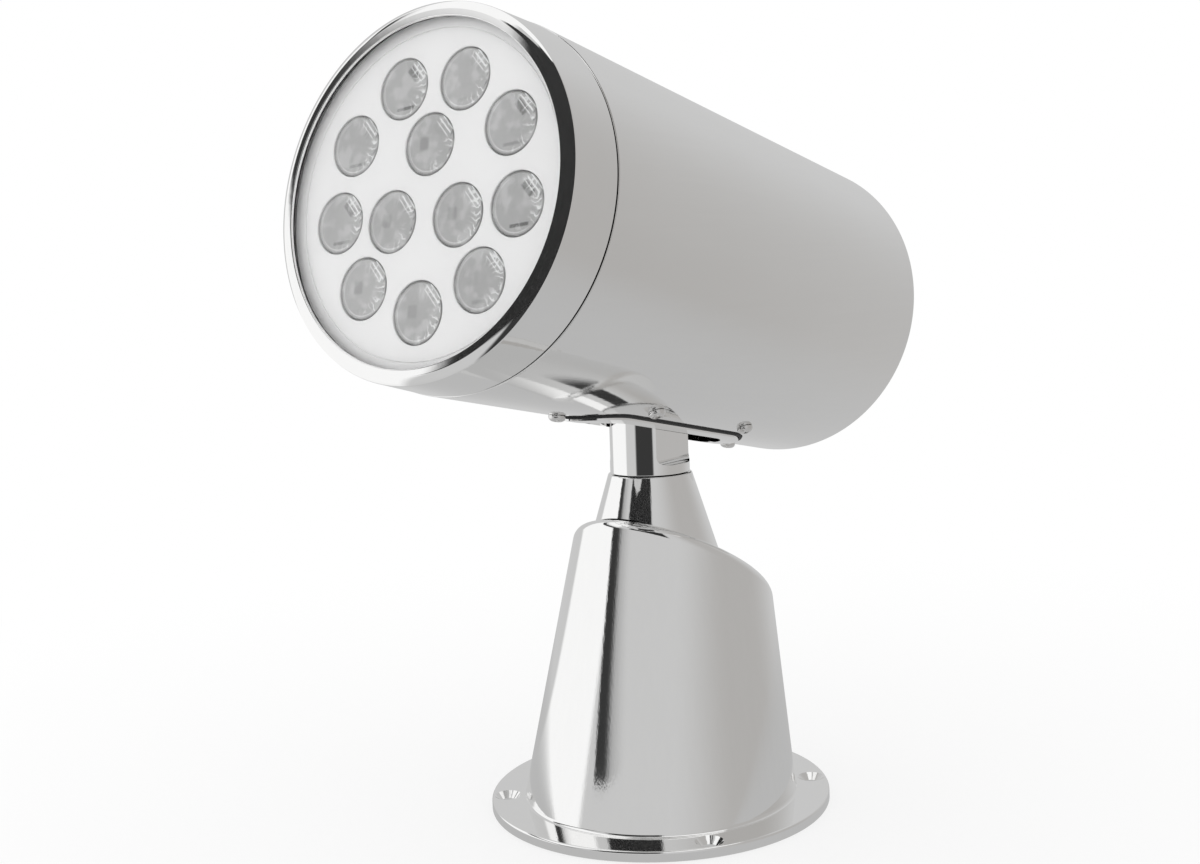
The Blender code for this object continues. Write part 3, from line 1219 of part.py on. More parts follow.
def make_tilt_bushes(head):
    inner = PIN_RADIUS + RUNNING_GAP
    for name, side in (("tilt_bush_left", -1.0), ("tilt_bush_right", 1.0)):
        profile = tube_profile(inner, inner + TILT_BUSH_WALL, SLOT_HALF_WIDTH + GAP, EAR_REACH)
        bush = turned(name, profile, BRONZE, MEDIUM, ring=True)
        place(bush, head, (0.0, 0.0, 0.0), (0.0, side * math.pi / 2, 0.0))


def make_tilt_motor(head):
    """Motor on its bracket beside the pocket, with the pinion between them."""
    low = BRACKET_STATION
    half_length = BRACKET_POST_SPREAD + 2 * BRACKET_POST_RADIUS
    bottom = BRACKET_POST_RISE - 2 * BRACKET_POST_RADIUS
    top = TILT_CENTRES + TILT_MOTOR_RADIUS
    side = Matrix(((0, 0, 1, 0), (1, 0, 0, 0), (0, 1, 0, 0), (0, 0, 0, 1)))
    outline = [
        (-half_length, bottom),
        (half_length, bottom),
        (half_length, TILT_CENTRES - TILT_MOTOR_RADIUS / 2),
        (TILT_MOTOR_RADIUS, top),
        (-TILT_MOTOR_RADIUS, top),
        (-half_length, TILT_CENTRES - TILT_MOTOR_RADIUS / 2),
    ]
    nose_hole = circle(MOTOR_NOSE_RADIUS + GAP, MEDIUM, (0.0, TILT_CENTRES))
    bracket = extruded("tilt_motor_bracket", [outline, nose_hole], low, low + BRACKET_THICKNESS, ALUMINIUM, None, side)
    place(bracket, head)
    for i, end in enumerate((-1.0, 1.0)):
        post = turned(f"bracket_post_{i}", rod_profile(BRACKET_POST_RADIUS, SLOT_HALF_WIDTH + POCKET_WALL + GAP,
                                                       low + BRACKET_THICKNESS / 2), None, COARSE, collection=CUTTERS)
        place(post, head, (0.0, end * BRACKET_POST_SPREAD, BRACKET_POST_RISE), ALONG_PIN)
        boolean(bracket, post, "UNION")
    seat = low + BRACKET_THICKNESS + GAP
    nose = low + GAP
    floor = seat + MOTOR_NOSE_HEIGHT
    radius = TILT_MOTOR_RADIUS
    end = seat + TILT_MOTOR_LENGTH
    bore = PINION_SHAFT_RADIUS + RUNNING_GAP
    profile = [
        (0.0, end),
        (radius - MOTOR_CHAMFER, end),
        (radius, end - MOTOR_CHAMFER),
        (radius, seat + MOTOR_CHAMFER / 2),
        (radius - MOTOR_CHAMFER / 2, seat),
        (MOTOR_NOSE_RADIUS, seat),
        (MOTOR_NOSE_RADIUS, nose),
        (bore, nose),
        (bore, floor),
        (0.0, floor),
    ]
    motor = turned("tilt_motor", profile, SCREW_STEEL, MEDIUM)
    place(motor, head, (0.0, 0.0, TILT_CENTRES), ALONG_PIN)
    pinion_axis = add_empty("tilt_pinion_axis", head, (0.0, 0.0, TILT_CENTRES), ALONG_PIN)
    station = TILT_GEAR_STATION
    pinion = extruded("tilt_pinion", [gear_outline(TILT_PINION_TEETH, TILT_MODULE)], station,
                      station + TILT_GEAR_WIDTH, BRONZE)
    pinion.data.transform(Matrix.Rotation(math.pi / TILT_PINION_TEETH, 4, "Z"))
    place(pinion, pinion_axis)
    shaft = cutter_rod("tilt_pinion_shaft", PINION_SHAFT_RADIUS, station + TILT_GEAR_WIDTH / 2, floor - GAP, COARSE)
    place(shaft, pinion_axis)
    boolean(pinion, shaft, "UNION")


def build():
    make_pedestal_housing()
    make_neck_collar()
    make_pan_bearing()
    make_gear_plate()
    make_pan_motor()
    make_pan_pinion()
    make_base_cover()
    make_cover_screws()
    make_control_board()
    make_cable_gland()
    pan_axis = add_empty("pan_axis")
    make_stem(pan_axis)
    make_pan_gear(pan_axis)
    make_shaft_nut(pan_axis)
    make_tilt_pin(pan_axis)
    make_tilt_gear(pan_axis)
    head = add_empty("tilt_axis", pan_axis, (0.0, 0.0, TILT_AXIS_HEIGHT), (-HEAD_LIFT, 0.0, 0.0))
    make_barrel_tube(head)
    make_front_bezel(head)
    make_front_stack(head)
    make_led_lenses(head)
    make_led_board(head)
    make_heat_sink(head)
    make_driver_board(head)
    make_rear_cap(head)
    make_tilt_housing(head)
    make_saddle_gasket(head)
    make_saddle_screws(head)
    make_tilt_bushes(head)
    make_tilt_motor(head)
    bpy.context.view_layer.update()


build()
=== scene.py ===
import math

import bpy
from bpy.props import FloatProperty, FloatVectorProperty, IntProperty, PointerProperty
from mathutils import Euler, Matrix, Vector


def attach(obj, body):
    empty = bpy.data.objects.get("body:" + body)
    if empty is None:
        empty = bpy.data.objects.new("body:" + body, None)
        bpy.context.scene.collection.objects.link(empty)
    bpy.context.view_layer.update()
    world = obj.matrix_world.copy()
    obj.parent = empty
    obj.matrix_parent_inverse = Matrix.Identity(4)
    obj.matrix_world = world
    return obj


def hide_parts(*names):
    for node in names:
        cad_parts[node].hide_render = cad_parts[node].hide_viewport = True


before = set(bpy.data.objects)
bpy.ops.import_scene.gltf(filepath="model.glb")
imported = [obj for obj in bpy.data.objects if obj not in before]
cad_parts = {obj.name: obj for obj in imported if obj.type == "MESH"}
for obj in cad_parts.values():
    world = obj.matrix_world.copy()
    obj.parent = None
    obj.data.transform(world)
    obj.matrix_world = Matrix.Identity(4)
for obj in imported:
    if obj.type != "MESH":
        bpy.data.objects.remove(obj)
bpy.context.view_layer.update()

bl_info = {
    "name": "Deck Searchlight Dressing",
    "version": (1, 0, 0),
    "blender": (4, 5, 0),
    "location": "3D View > Sidebar > Searchlight",
    "description": "Models the visible pieces of a remote-controlled deck searchlight and sets its studio",
    "category": "Object",
}

WHOLE_TURN = 2 * math.pi
FIT = 0.0003

# Places on the object that its pieces share, in metres
FLANGE_THICKNESS = 0.0035
TOP_HEIGHT = 0.0945
TOP_SLOPE = math.radians(31.5)
COVER_THICKNESS = 0.0022
PAN_SEAM = 0.1210
TILT_HEIGHT = 0.1610
HEAD_LIFT = math.radians(11.4)
BARREL_RISE = 0.0365
FACE_STATION = 0.1279
SEAM_STATION = 0.1077
PLATE_STATION = 0.1237
REAR_STATION = -0.0973
NECK_RADIUS = 0.0580
BARREL_INNER = 0.0585
SLOT_CENTRE = 0.0054
TONGUE_HALF_WIDTH = 0.0103
SHAFT_RADIUS = 0.0080

HEAD = Matrix.Translation((0.0, 0.0, TILT_HEIGHT)) @ Matrix.Rotation(-HEAD_LIFT, 4, "X")
LAMP = HEAD @ Matrix.Translation((0.0, 0.0, BARREL_RISE)) @ Matrix.Rotation(math.pi / 2, 4, "X")


# Sizes and colours a user may change


def length_field(name, description, metres):
    return FloatProperty(name=name, description=description, default=metres, unit="LENGTH")


def angle_field(name, description, degrees):
    return FloatProperty(name=name, description=description, default=math.radians(degrees), unit="ROTATION")


def count_field(name, description, number, least):
    return IntProperty(name=name, description=description, default=number, min=least)


def colour_field(name, description, shade):
    return FloatVectorProperty(name=name, description=description, subtype="COLOR", default=shade)


class PedestalSizes(bpy.types.PropertyGroup):
    flange_radius: length_field("Flange radius", "Mounting flange", 0.0624)
    foot_radius: length_field("Foot radius", "Cone at the flange", 0.0502)
    taper: angle_field("Taper", "Draft of the cone's side", 8.74)
    lean: angle_field("Lean", "Lean of the cone to the rear", 6.8)
    edge: length_field("Top edge", "Rounding of the sloping top's edge", 0.0041)
    fillet: length_field("Foot fillet", "Fillet between cone and flange", 0.0010)
    hole_pitch: length_field("Hole pitch radius", "Circle of the mounting holes", 0.0566)
    hole_radius: length_field("Hole radius", "Mounting hole", 0.0027)
    sink_radius: length_field("Countersink radius", "Mouth of the countersink", 0.0049)
    steps: count_field("Steps", "Facets round the pedestal", 192, 24)


class NeckSizes(bpy.types.PropertyGroup):
    collar_radius: length_field("Collar radius", "Collar at its seam", 0.0154)
    collar_taper: angle_field("Collar taper", "Draft of the collar", 17.0)
    stem_radius: length_field("Stem radius", "Turned stem", 0.0147)
    flat_height: length_field("Flat height", "Where the milled flats start", 0.1248)
    flat_fillet: length_field("Flat fillet", "Radius at the foot of a flat", 0.0030)
    pin_radius: length_field("Pin radius", "Tilt pin", 0.0040)
    steps: count_field("Steps", "Facets round the neck", 128, 24)


class HeadSizes(bpy.types.PropertyGroup):
    barrel_radius: length_field("Barrel radius", "Outside of the barrel", 0.0605)
    bezel_radius: length_field("Bezel radius", "Bezel at its face", 0.0592)
    bezel_crown: length_field("Bezel crown", "Crown of the bezel's sloping edge", 0.0095)
    bezel_turn: angle_field("Bezel turn", "Slope where the edge starts", 17.0)
    bezel_fall: angle_field("Bezel fall", "Slope where the edge ends", 33.0)
    mouth_radius: length_field("Mouth radius", "Opening of the bezel", 0.0544)
    rim_proud: length_field("Rim proud", "Slot rim above the barrel", 0.0012)
    rim_half_width: length_field("Rim half width", "Slot rim across", 0.0156)
    rim_half_length: length_field("Rim half length", "Slot rim along", 0.0490)
    slot_half_width: length_field("Slot half width", "Slot across", 0.0110)
    slot_half_length: length_field("Slot half length", "Slot along", 0.0400)
    dome_radius: length_field("Dome radius", "Dome of the rear cap", 0.0470)
    dome_rise: length_field("Dome rise", "Height of the rear dome", 0.0045)
    screw_radius: length_field("Screw head radius", "Pan head screws", 0.0030)
    screw_height: length_field("Screw head height", "Pan head screws", 0.0022)
    steps: count_field("Steps", "Facets round the barrel", 256, 24)


class LampSizes(bpy.types.PropertyGroup):
    outer_count: count_field("Outer lenses", "Lenses on the outer ring", 9, 1)
    inner_count: count_field("Inner lenses", "Lenses on the inner ring", 3, 1)
    outer_pitch: length_field("Outer pitch radius", "Outer ring of lenses", 0.0367)
    inner_pitch: length_field("Inner pitch radius", "Inner ring of lenses", 0.01546)
    module_turn: angle_field("Module turn", "Turn of the lens pattern", -2.1)
    opening: length_field("Opening radius", "Openings in the plate", 0.0100)
    lens_radius: length_field("Lens radius", "Rim of a lens", 0.0097)
    groove_radius: length_field("Groove radius", "Ring groove in the plate", 0.0519)


class FinishColours(bpy.types.PropertyGroup):
    steel: colour_field("Steel", "Polished stainless steel", (0.90, 0.898, 0.893))
    steel_bright: colour_field("Bright steel", "Where the polish is best", (0.95, 0.949, 0.945))
    screw: colour_field("Screws", "Plated screws", (0.64, 0.63, 0.62))
    rubber: colour_field("Rubber", "Gaskets and seals", (0.018, 0.018, 0.019))
    enamel: colour_field("Enamel", "Reflector plate", (0.95, 0.95, 0.95))
    optic: colour_field("Optic", "Moulded lenses", (0.46, 0.46, 0.46))


# Modelling helpers


def clear_selection():
    if bpy.context.mode != "OBJECT":
        bpy.ops.object.mode_set(mode="OBJECT")
    bpy.ops.object.select_all(action="DESELECT")


def take(piece):
    clear_selection()
    piece.select_set(True)
    bpy.context.view_layer.objects.active = piece
    return piece


def named(name):
    piece = bpy.context.object
    piece.name = name
    piece.data.name = name
    return piece


def arc(centre, radius, start, end, steps):
    """Points of an arc in the profile's plane, angles in degrees."""
    points = []
    for i in range(steps + 1):
        angle = math.radians(start + (end - start) * i / steps)
        points.append((centre[0] + radius * math.cos(angle), centre[1] + radius * math.sin(angle)))
    return points


def lathe(name, profile, steps, closed=False):
    """Spin a (radius, height) profile round Z."""
    clear_selection()
    bpy.ops.mesh.primitive_plane_add(size=0.01)
    piece = named(name)
    bpy.ops.object.mode_set(mode="EDIT")
    bpy.ops.mesh.select_mode(type="VERT")
    bpy.ops.mesh.select_all(action="SELECT")
    bpy.ops.mesh.merge(type="CENTER")
    bpy.ops.transform.translate(value=(profile[0][0], 0.0, profile[0][1]))
    points = list(profile) + ([profile[0]] if closed else [])
    for near, far in zip(points, points[1:]):
        step = (far[0] - near[0], 0.0, far[1] - near[1])
        bpy.ops.mesh.extrude_region_move(TRANSFORM_OT_translate={"value": step})
    bpy.ops.mesh.select_all(action="SELECT")
    bpy.ops.mesh.remove_doubles(threshold=0.000001)
    bpy.ops.mesh.spin(steps=steps, angle=WHOLE_TURN, center=(0.0, 0.0, 0.0), axis=(0.0, 0.0, 1.0))
    bpy.ops.mesh.select_all(action="SELECT")
    bpy.ops.mesh.remove_doubles(threshold=0.000001)
    bpy.ops.mesh.normals_make_consistent(inside=False)
    bpy.ops.object.mode_set(mode="OBJECT")
    return piece


def rod(name, radius, low, high, sides=48, centre=(0.0, 0.0), top_radius=None):
    clear_selection()
    bpy.ops.mesh.primitive_cone_add(
        vertices=sides,
        radius1=radius,
        radius2=radius if top_radius is None else top_radius,
        depth=high - low,
        location=(centre[0], centre[1], (low + high) / 2),
    )
    return fix_place(named(name))


def box(name, low, high):
    clear_selection()
    size = [far - near for near, far in zip(low, high)]
    centre = [(near + far) / 2 for near, far in zip(low, high)]
    bpy.ops.mesh.primitive_cube_add(size=1.0, location=centre, scale=size)
    return fix_place(named(name))


def fix_place(piece):
    take(piece)
    bpy.ops.object.transform_apply(location=True, rotation=True, scale=True)
    return piece


def put(piece, matrix):
    """Move a piece's mesh to its place; its object stays at the origin."""
    take(piece)
    piece.matrix_world = matrix
    return fix_place(piece)


def copy_of(piece, name):
    take(piece)
    bpy.ops.object.duplicate(linked=False)
    return named(name)


def joined(name, pieces):
    take(pieces[0])
    for piece in pieces:
        piece.select_set(True)
    bpy.ops.object.join()
    return named(name)


def discard(*pieces):
    for piece in pieces:
        take(piece)
        bpy.ops.object.delete()


def apply_new_modifier(piece, kind, **settings):
    take(piece)
    bpy.ops.object.modifier_add(type=kind)
    modifier = piece.modifiers[-1]
    for key, value in settings.items():
        setattr(modifier, key, value)
    bpy.ops.object.modifier_apply(modifier=modifier.name)
    return piece


def carve(piece, cutter, operation="DIFFERENCE"):
    apply_new_modifier(piece, "BOOLEAN", operation=operation, solver="EXACT", object=cutter)
    discard(cutter)
    return piece


def polish(piece, angle=30.0):
    """Smooth shading that keeps hard edges, with broad faces setting the normals."""
    take(piece)
    bpy.ops.object.shade_smooth_by_angle(angle=math.radians(angle))
    return apply_new_modifier(piece, "WEIGHTED_NORMAL", mode="FACE_AREA", weight=50, keep_sharp=True)


def select_edges(piece, wanted):
    """In edit mode, select only the edges whose two ends pass the test."""
    take(piece)
    bpy.ops.object.mode_set(mode="EDIT")
    bpy.ops.mesh.select_mode(type="EDGE")
    bpy.ops.mesh.select_all(action="DESELECT")
    bpy.ops.object.mode_set(mode="OBJECT")
    points = [vert.co.copy() for vert in piece.data.vertices]
    for edge in piece.data.edges:
        edge.select = all(wanted(points[i]) for i in edge.vertices)
    bpy.ops.object.mode_set(mode="EDIT")


def round_edges(piece, wanted, width, segments=4):
    select_edges(piece, wanted)
    bpy.ops.mesh.bevel(offset=width, offset_type="OFFSET", segments=segments, profile=0.5, affect="EDGES",
                       clamp_overlap=True)
    bpy.ops.object.mode_set(mode="OBJECT")


def slot_block(name, half_width, half_length, low, high, sides=98):
    """A long block with round ends along Y."""
    piece = rod(name, half_width, low, high, sides)
    for side in (1.0, -1.0):
        bpy.ops.object.mode_set(mode="EDIT")
        bpy.ops.mesh.select_mode(type="VERT")
        bpy.ops.mesh.select_all(action="DESELECT")
        bpy.ops.object.mode_set(mode="OBJECT")
        for vert in piece.data.vertices:
            vert.select = vert.co.y * side > 0.0
        bpy.ops.object.mode_set(mode="EDIT")
        reach = half_length - half_width
        bpy.ops.transform.translate(value=(0.0, side * reach, 0.0))
        bpy.ops.object.mode_set(mode="OBJECT")
    return put(piece, Matrix.Translation((0.0, SLOT_CENTRE, 0.0)))


def shell(name, inner, outer, steps):
    """A tube along the barrel's axis, in the head's own frame."""
    profile = [(outer, -0.11), (outer, 0.11), (inner, 0.11), (inner, -0.11)]
    tube = lathe(name, profile, steps, closed=True)
    return put(tube, Matrix.Translation((0.0, 0.0, BARREL_RISE)) @ Matrix.Rotation(math.pi / 2, 4, "X"))


def dress(piece, body, slot, material, *nodes):
    """Give a finished piece its material, its body and the nodes it stands for."""
    piece.data.materials.clear()
    piece.data.materials.append(material)
    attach(piece, body)
    if nodes:
        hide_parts(*nodes)
    return piece


# Finishes


class Wire:
    """A value on its way through a material: arithmetic on it adds Math nodes."""

    def __init__(self, bench, socket):
        self.bench = bench
        self.socket = socket

    def maths(self, operation, *values):
        sockets = dict(enumerate(values))
        return self.bench.add("ShaderNodeMath", {"operation": operation}, sockets)

    def __add__(self, other):
        return self.maths("ADD", self, other)

    __radd__ = __add__

    def __mul__(self, other):
        return self.maths("MULTIPLY", self, other)

    __rmul__ = __mul__

    def __sub__(self, other):
        return self.maths("SUBTRACT", self, other)

    def __rsub__(self, other):
        return self.maths("SUBTRACT", other, self)

    def __truediv__(self, other):
        return self.maths("DIVIDE", self, other)

    def __pow__(self, other):
        return self.maths("POWER", self, other)

    def root(self):
        return self.maths("SQRT", self)

    def size(self):
        return self.maths("ABSOLUTE", self)

    def wave(self):
        return self.maths("SINE", self)

    def within(self, middle, half, soft):
        """1 inside a band round the middle, easing to 0 outside it."""
        return 1.0 - (self - middle).size().smooth_from(half - soft, half + soft)

    def smooth_from(self, low, high):
        """0 below low, 1 above high, eased between."""
        return self.bench.add(
            "ShaderNodeMapRange",
            {"interpolation_type": "SMOOTHSTEP"},
            {"Value": self, "From Min": low, "From Max": high},
        )


class Finish:
    """A material being wired up."""

    def __init__(self, name, colour, roughness, metallic=0.0, **constants):
        self.material = bpy.data.materials.new(name)
        self.material.use_nodes = True
        self.tree = self.material.node_tree
        self.shader = self.tree.nodes["Principled BSDF"]
        self.material.diffuse_color = (*colour, 1.0)
        self.set("Base Color", colour)
        self.set("Roughness", roughness)
        self.set("Metallic", metallic)
        for key, value in constants.items():
            self.set(key.replace("_", " ").title().replace("Ior", "IOR"), value)

    def feed(self, socket, value):
        if isinstance(value, Wire):
            self.tree.links.new(value.socket, socket)
        elif isinstance(value, (tuple, list, Vector)) and len(value) == 3 and socket.type == "RGBA":
            socket.default_value = (*value, 1.0)
        else:
            socket.default_value = value

    def set(self, name, value):
        self.feed(self.shader.inputs[name], value)

    def add(self, kind, settings=None, sockets=None, output=0):
        node = self.tree.nodes.new(kind)
        for key, value in (settings or {}).items():
            setattr(node, key, value)
        for key, value in (sockets or {}).items():
            self.feed(node.inputs[key], value)
        return Wire(self, node.outputs[output])

    def place(self, scale=(1.0, 1.0, 1.0), turn=(0.0, 0.0, 0.0), centre=(0.0, 0.0, 0.0), source="Object"):
        coordinates = self.add("ShaderNodeTexCoord", output=source)
        return self.add("ShaderNodeMapping", {"vector_type": "TEXTURE"} if centre != (0.0, 0.0,
                                                                                      0.0) else None,
                        {"Vector": coordinates, "Rotation": turn, "Scale": scale, "Location": centre})

    def noise(self, where, scale, detail=2.0, rough=0.5):
        return self.add("ShaderNodeTexNoise", None,
                        {"Vector": where, "Scale": scale, "Detail": detail, "Roughness": rough}, "Fac")

    def blend(self, factor, first, second):
        return self.add("ShaderNodeMix", {"data_type": "RGBA"}, {"Factor": factor, 6: first, 7: second}, 2)

    def part(self, vector, axis):
        """One of a vector's three parts: 0, 1 or 2."""
        return self.add("ShaderNodeSeparateXYZ", None, {"Vector": vector}, axis)

    def bump(self, height, strength, distance):
        self.set("Normal", self.add("ShaderNodeBump", None,
                                    {"Height": height, "Strength": strength, "Distance": distance}))


def painted_seam_shade(finish):
    """1 in the narrow seams below the barrel's skin, where the steel gets painted shade."""
    where = finish.place(turn=(-HEAD_LIFT, 0.0, 0.0), centre=(0.0, 0.0, TILT_HEIGHT))
    across, rise = finish.part(where, 0), finish.part(where, 2) - BARREL_RISE
    return (across * across + rise * rise).root().smooth_from(0.0600, 0.0597)


def steel(name, grain, turn, low, high, rough, spread, blotch=18.0, seams=False):
    """Polished steel with fine grain lines, faint blotches and uneven gloss; seams adds painted shade in the
    barrel's seams.
    """
    finish = Finish(name, low, rough, 1.0)
    lines = finish.noise(finish.place(grain, turn), 1.0, 3.0, 0.6)
    fine = finish.noise(finish.place([value * 4.0 for value in grain], turn), 1.0, 2.0)
    cloud = finish.noise(finish.place(), blotch, 3.0, 0.55)
    colour = finish.blend(cloud * 0.5 + lines * 0.5, low, high)
    gloss = rough + spread * lines + spread * cloud
    if seams:
        # Painted shade: the seams below the skin are darkened to near-black, with a rougher gloss.
        shade = painted_seam_shade(finish)
        colour = finish.blend(shade, colour, (0.02, 0.02, 0.02))
        gloss = gloss + shade * 0.5
    finish.set("Base Color", colour)
    finish.set("Roughness", gloss)
    finish.bump(fine * 0.6 + lines * 0.4, 0.03, 0.0004)
    return finish.material


def grained(name, colour, second, rough, scale, bump, distance, metallic=0.0, **constants):
    """Cast, moulded or coated surface: mottled colour and a fine skin."""
    finish = Finish(name, colour, rough, metallic, **constants)
    skin = finish.noise(finish.place(), scale, 3.0, 0.6)
    cloud = finish.noise(finish.place(), scale * 0.06, 2.0)
    finish.set("Base Color", finish.blend(cloud, colour, second))
    finish.set("Roughness", rough * 0.85 + rough * 0.3 * cloud)
    finish.bump(skin, bump, distance)
    return finish.material


def window_glass():
    """Clear glass with the light passing through and a Fresnel gloss."""
    finish = Finish("window_glass", (1.0, 1.0, 1.0), 0.02, 0.0, alpha=0.08)
    rim = finish.add("ShaderNodeLayerWeight", None, {"Blend": 0.22}, "Fresnel")
    smear = finish.noise(finish.place(), 30.0, 2.0)
    finish.set("Alpha", 0.03 + rim * 0.5)
    finish.set("Roughness", 0.02 + smear * 0.03)
    return finish.material


def lens_optic(colour):
    """Moulded optic: a clear grey disc with a thin rim of painted shade, painted highlights in bright streaks
    and arcs, and painted reflections of what each cup mirrors.
    """
    finish = Finish("lens_optic", colour, 0.16, 0.0, ior=1.49, coat_weight=0.6, coat_roughness=0.04)
    where = finish.add("ShaderNodeUVMap", {"uv_map": "lens"})
    across = finish.part(where, 0) * 2.0 - 1.0
    up = finish.part(where, 1) * 2.0 - 1.0
    reach = (across * across + up * up).root()
    outward = across * 0.72 + up * 0.69
    along = up * 0.72 - across * 0.69
    painted_reflections = finish.add("ShaderNodeAttribute", {"attribute_name": "painted_reflections"}, None, "Color")
    petal, bar, spot = [finish.part(painted_reflections, axis) for axis in (0, 1, 2)]
    cloud = finish.noise(finish.place(), 260.0, 3.0)
    fine = finish.noise(finish.place(), 900.0, 2.0)

    turn = up.maths("ARCTAN2", up, across)
    # Painted highlights: bright streaks over the cuts, pale arcs at the left and foot, rays and patches stand
    # in for light caught in the optic.
    painted_cut_streaks = (outward * 40.0 + cloud * 3.0).wave().smooth_from(0.1, 0.7) * outward.within(0.79, 0.16, 0.04)
    painted_cut_streaks = painted_cut_streaks * along.within(0.02, 0.36, 0.08)
    left_arc = reach.within(0.87, 0.018, 0.012) * across.smooth_from(-0.20, -0.60)
    foot_arc = reach.within(0.88, 0.020, 0.012) * up.smooth_from(-0.60, -0.85)
    rays = (turn * 21.0 + cloud * 22.0).wave().smooth_from(0.2, 1.0) * reach.smooth_from(0.30, 0.85)
    rays = rays * reach.smooth_from(0.94, 0.90) * across.smooth_from(-0.3, 0.7) * cloud.smooth_from(0.40,
                                                                                                    0.56)
    patches = finish.noise(finish.place(), 210.0, 1.0).smooth_from(0.46, 0.68)
    bright = painted_cut_streaks * 0.95 + left_arc * 0.3 + foot_arc * 0.45 + rays * 0.90 + patches * 0.26
    # Painted dark marks: the rim is painted shade; the wedge, foot and spot are painted reflections of the
    # cup's wall, foot and chip; ticks sit near the rim.
    ticks = (along * 34.0 + cloud * 5.0).wave().smooth_from(0.2, 0.8) * reach.within(0.90, 0.040, 0.02)
    ticks = ticks * outward.smooth_from(0.05, 0.35) * along.smooth_from(-0.10, -0.35)
    edge = reach.smooth_from(0.935, 0.965)
    wedge = outward.within(0.57, 0.14, 0.04) * along.within(0.10, 0.27, 0.05) * petal
    foot = (up + across * -0.10).within(-0.66, 0.055, 0.025) * across.within(0.12, 0.36, 0.05) * bar
    mirror = across.within(-0.26, 0.19, 0.06) * up.within(0.04, 0.21, 0.06) * spot
    dark = edge * 0.70 + ticks * 0.55 + wedge * 0.85 + foot * 0.85 + mirror * 0.34

    low, high = [value * 0.84 for value in colour], [value * 1.12 for value in colour]
    shade = finish.blend(cloud * 0.6 + fine * 0.4, low, high)
    shade = finish.blend(dark, shade, (0.075, 0.078, 0.074))
    finish.set("Base Color", finish.blend(bright, shade, (0.90, 0.91, 0.91)))
    finish.set("Roughness", 0.10 + cloud * 0.12)
    finish.bump(cloud * 0.6 + rays * 0.4, 0.15, 0.0003)
    return finish.material


FINISHES = {}


def make_finishes(colours):
    low, high = list(colours.steel), list(colours.steel_bright)
    lamp_turn = (HEAD_LIFT, 0.0, 0.0)
    FINISHES.update(
        upright_steel=steel("upright_steel", (420.0, 420.0, 7.0), (0.0, 0.0, 0.0), low, high, 0.02, 0.02),
        barrel_steel=steel("barrel_steel", (420.0, 9.0, 420.0), lamp_turn, low, high, 0.03, 0.03, seams=True),
        ring_steel=steel("ring_steel", (60.0, 60.0, 60.0), lamp_turn, low, high, 0.02, 0.02),
        cap_steel=steel("cap_steel", (90.0, 90.0, 90.0), lamp_turn, low, high, 0.06, 0.06),
        screw_steel=steel("screw_steel_fine", (500.0, 500.0, 500.0), (0.0, 0.0, 0.0), list(colours.screw),
                          high, 0.10, 0.08),
        rubber=grained("gasket_rubber", list(colours.rubber), (0.03, 0.03, 0.031), 0.62, 1800.0, 0.25,
                       0.0002),
        enamel=grained("plate_enamel", list(colours.enamel), (0.97, 0.97, 0.97), 0.30, 900.0, 0.04, 0.0001,
                       coat_weight=0.3),
        glass=window_glass(),
        optic=lens_optic(list(colours.optic)),
        cast=grained("cast_aluminium", (0.60, 0.60, 0.60), (0.68, 0.68, 0.68), 0.42, 1400.0, 0.25, 0.0003,
                     metallic=1.0),
        bronze=grained("bearing_bronze", (0.50, 0.34, 0.16), (0.60, 0.43, 0.22), 0.34, 1200.0, 0.20, 0.0002,
                       metallic=1.0),
        board=grained("circuit_board", (0.02, 0.14, 0.06), (0.03, 0.18, 0.08), 0.40, 1500.0, 0.15, 0.0002),
        nylon=grained("gear_nylon", (0.74, 0.73, 0.68), (0.80, 0.79, 0.75), 0.48, 900.0, 0.08, 0.0002),
        black=grained("black_moulding", (0.022, 0.022, 0.023), (0.032, 0.032, 0.033), 0.46, 1600.0, 0.3,
                      0.0002),
    )


# Pieces


class SEARCHLIGHT_OT_finishes(bpy.types.Operator):
    """Make the searchlight's materials"""

    bl_idname = "searchlight.finishes"
    bl_label = "Finishes"

    def execute(self, context):
        make_finishes(context.scene.searchlight_colours)
        return {"FINISHED"}


def hole_angles():
    half = math.radians(51.0)
    return [end * math.pi / 2 + side * half for end in (1.0, -1.0) for side in (1.0, -1.0)]


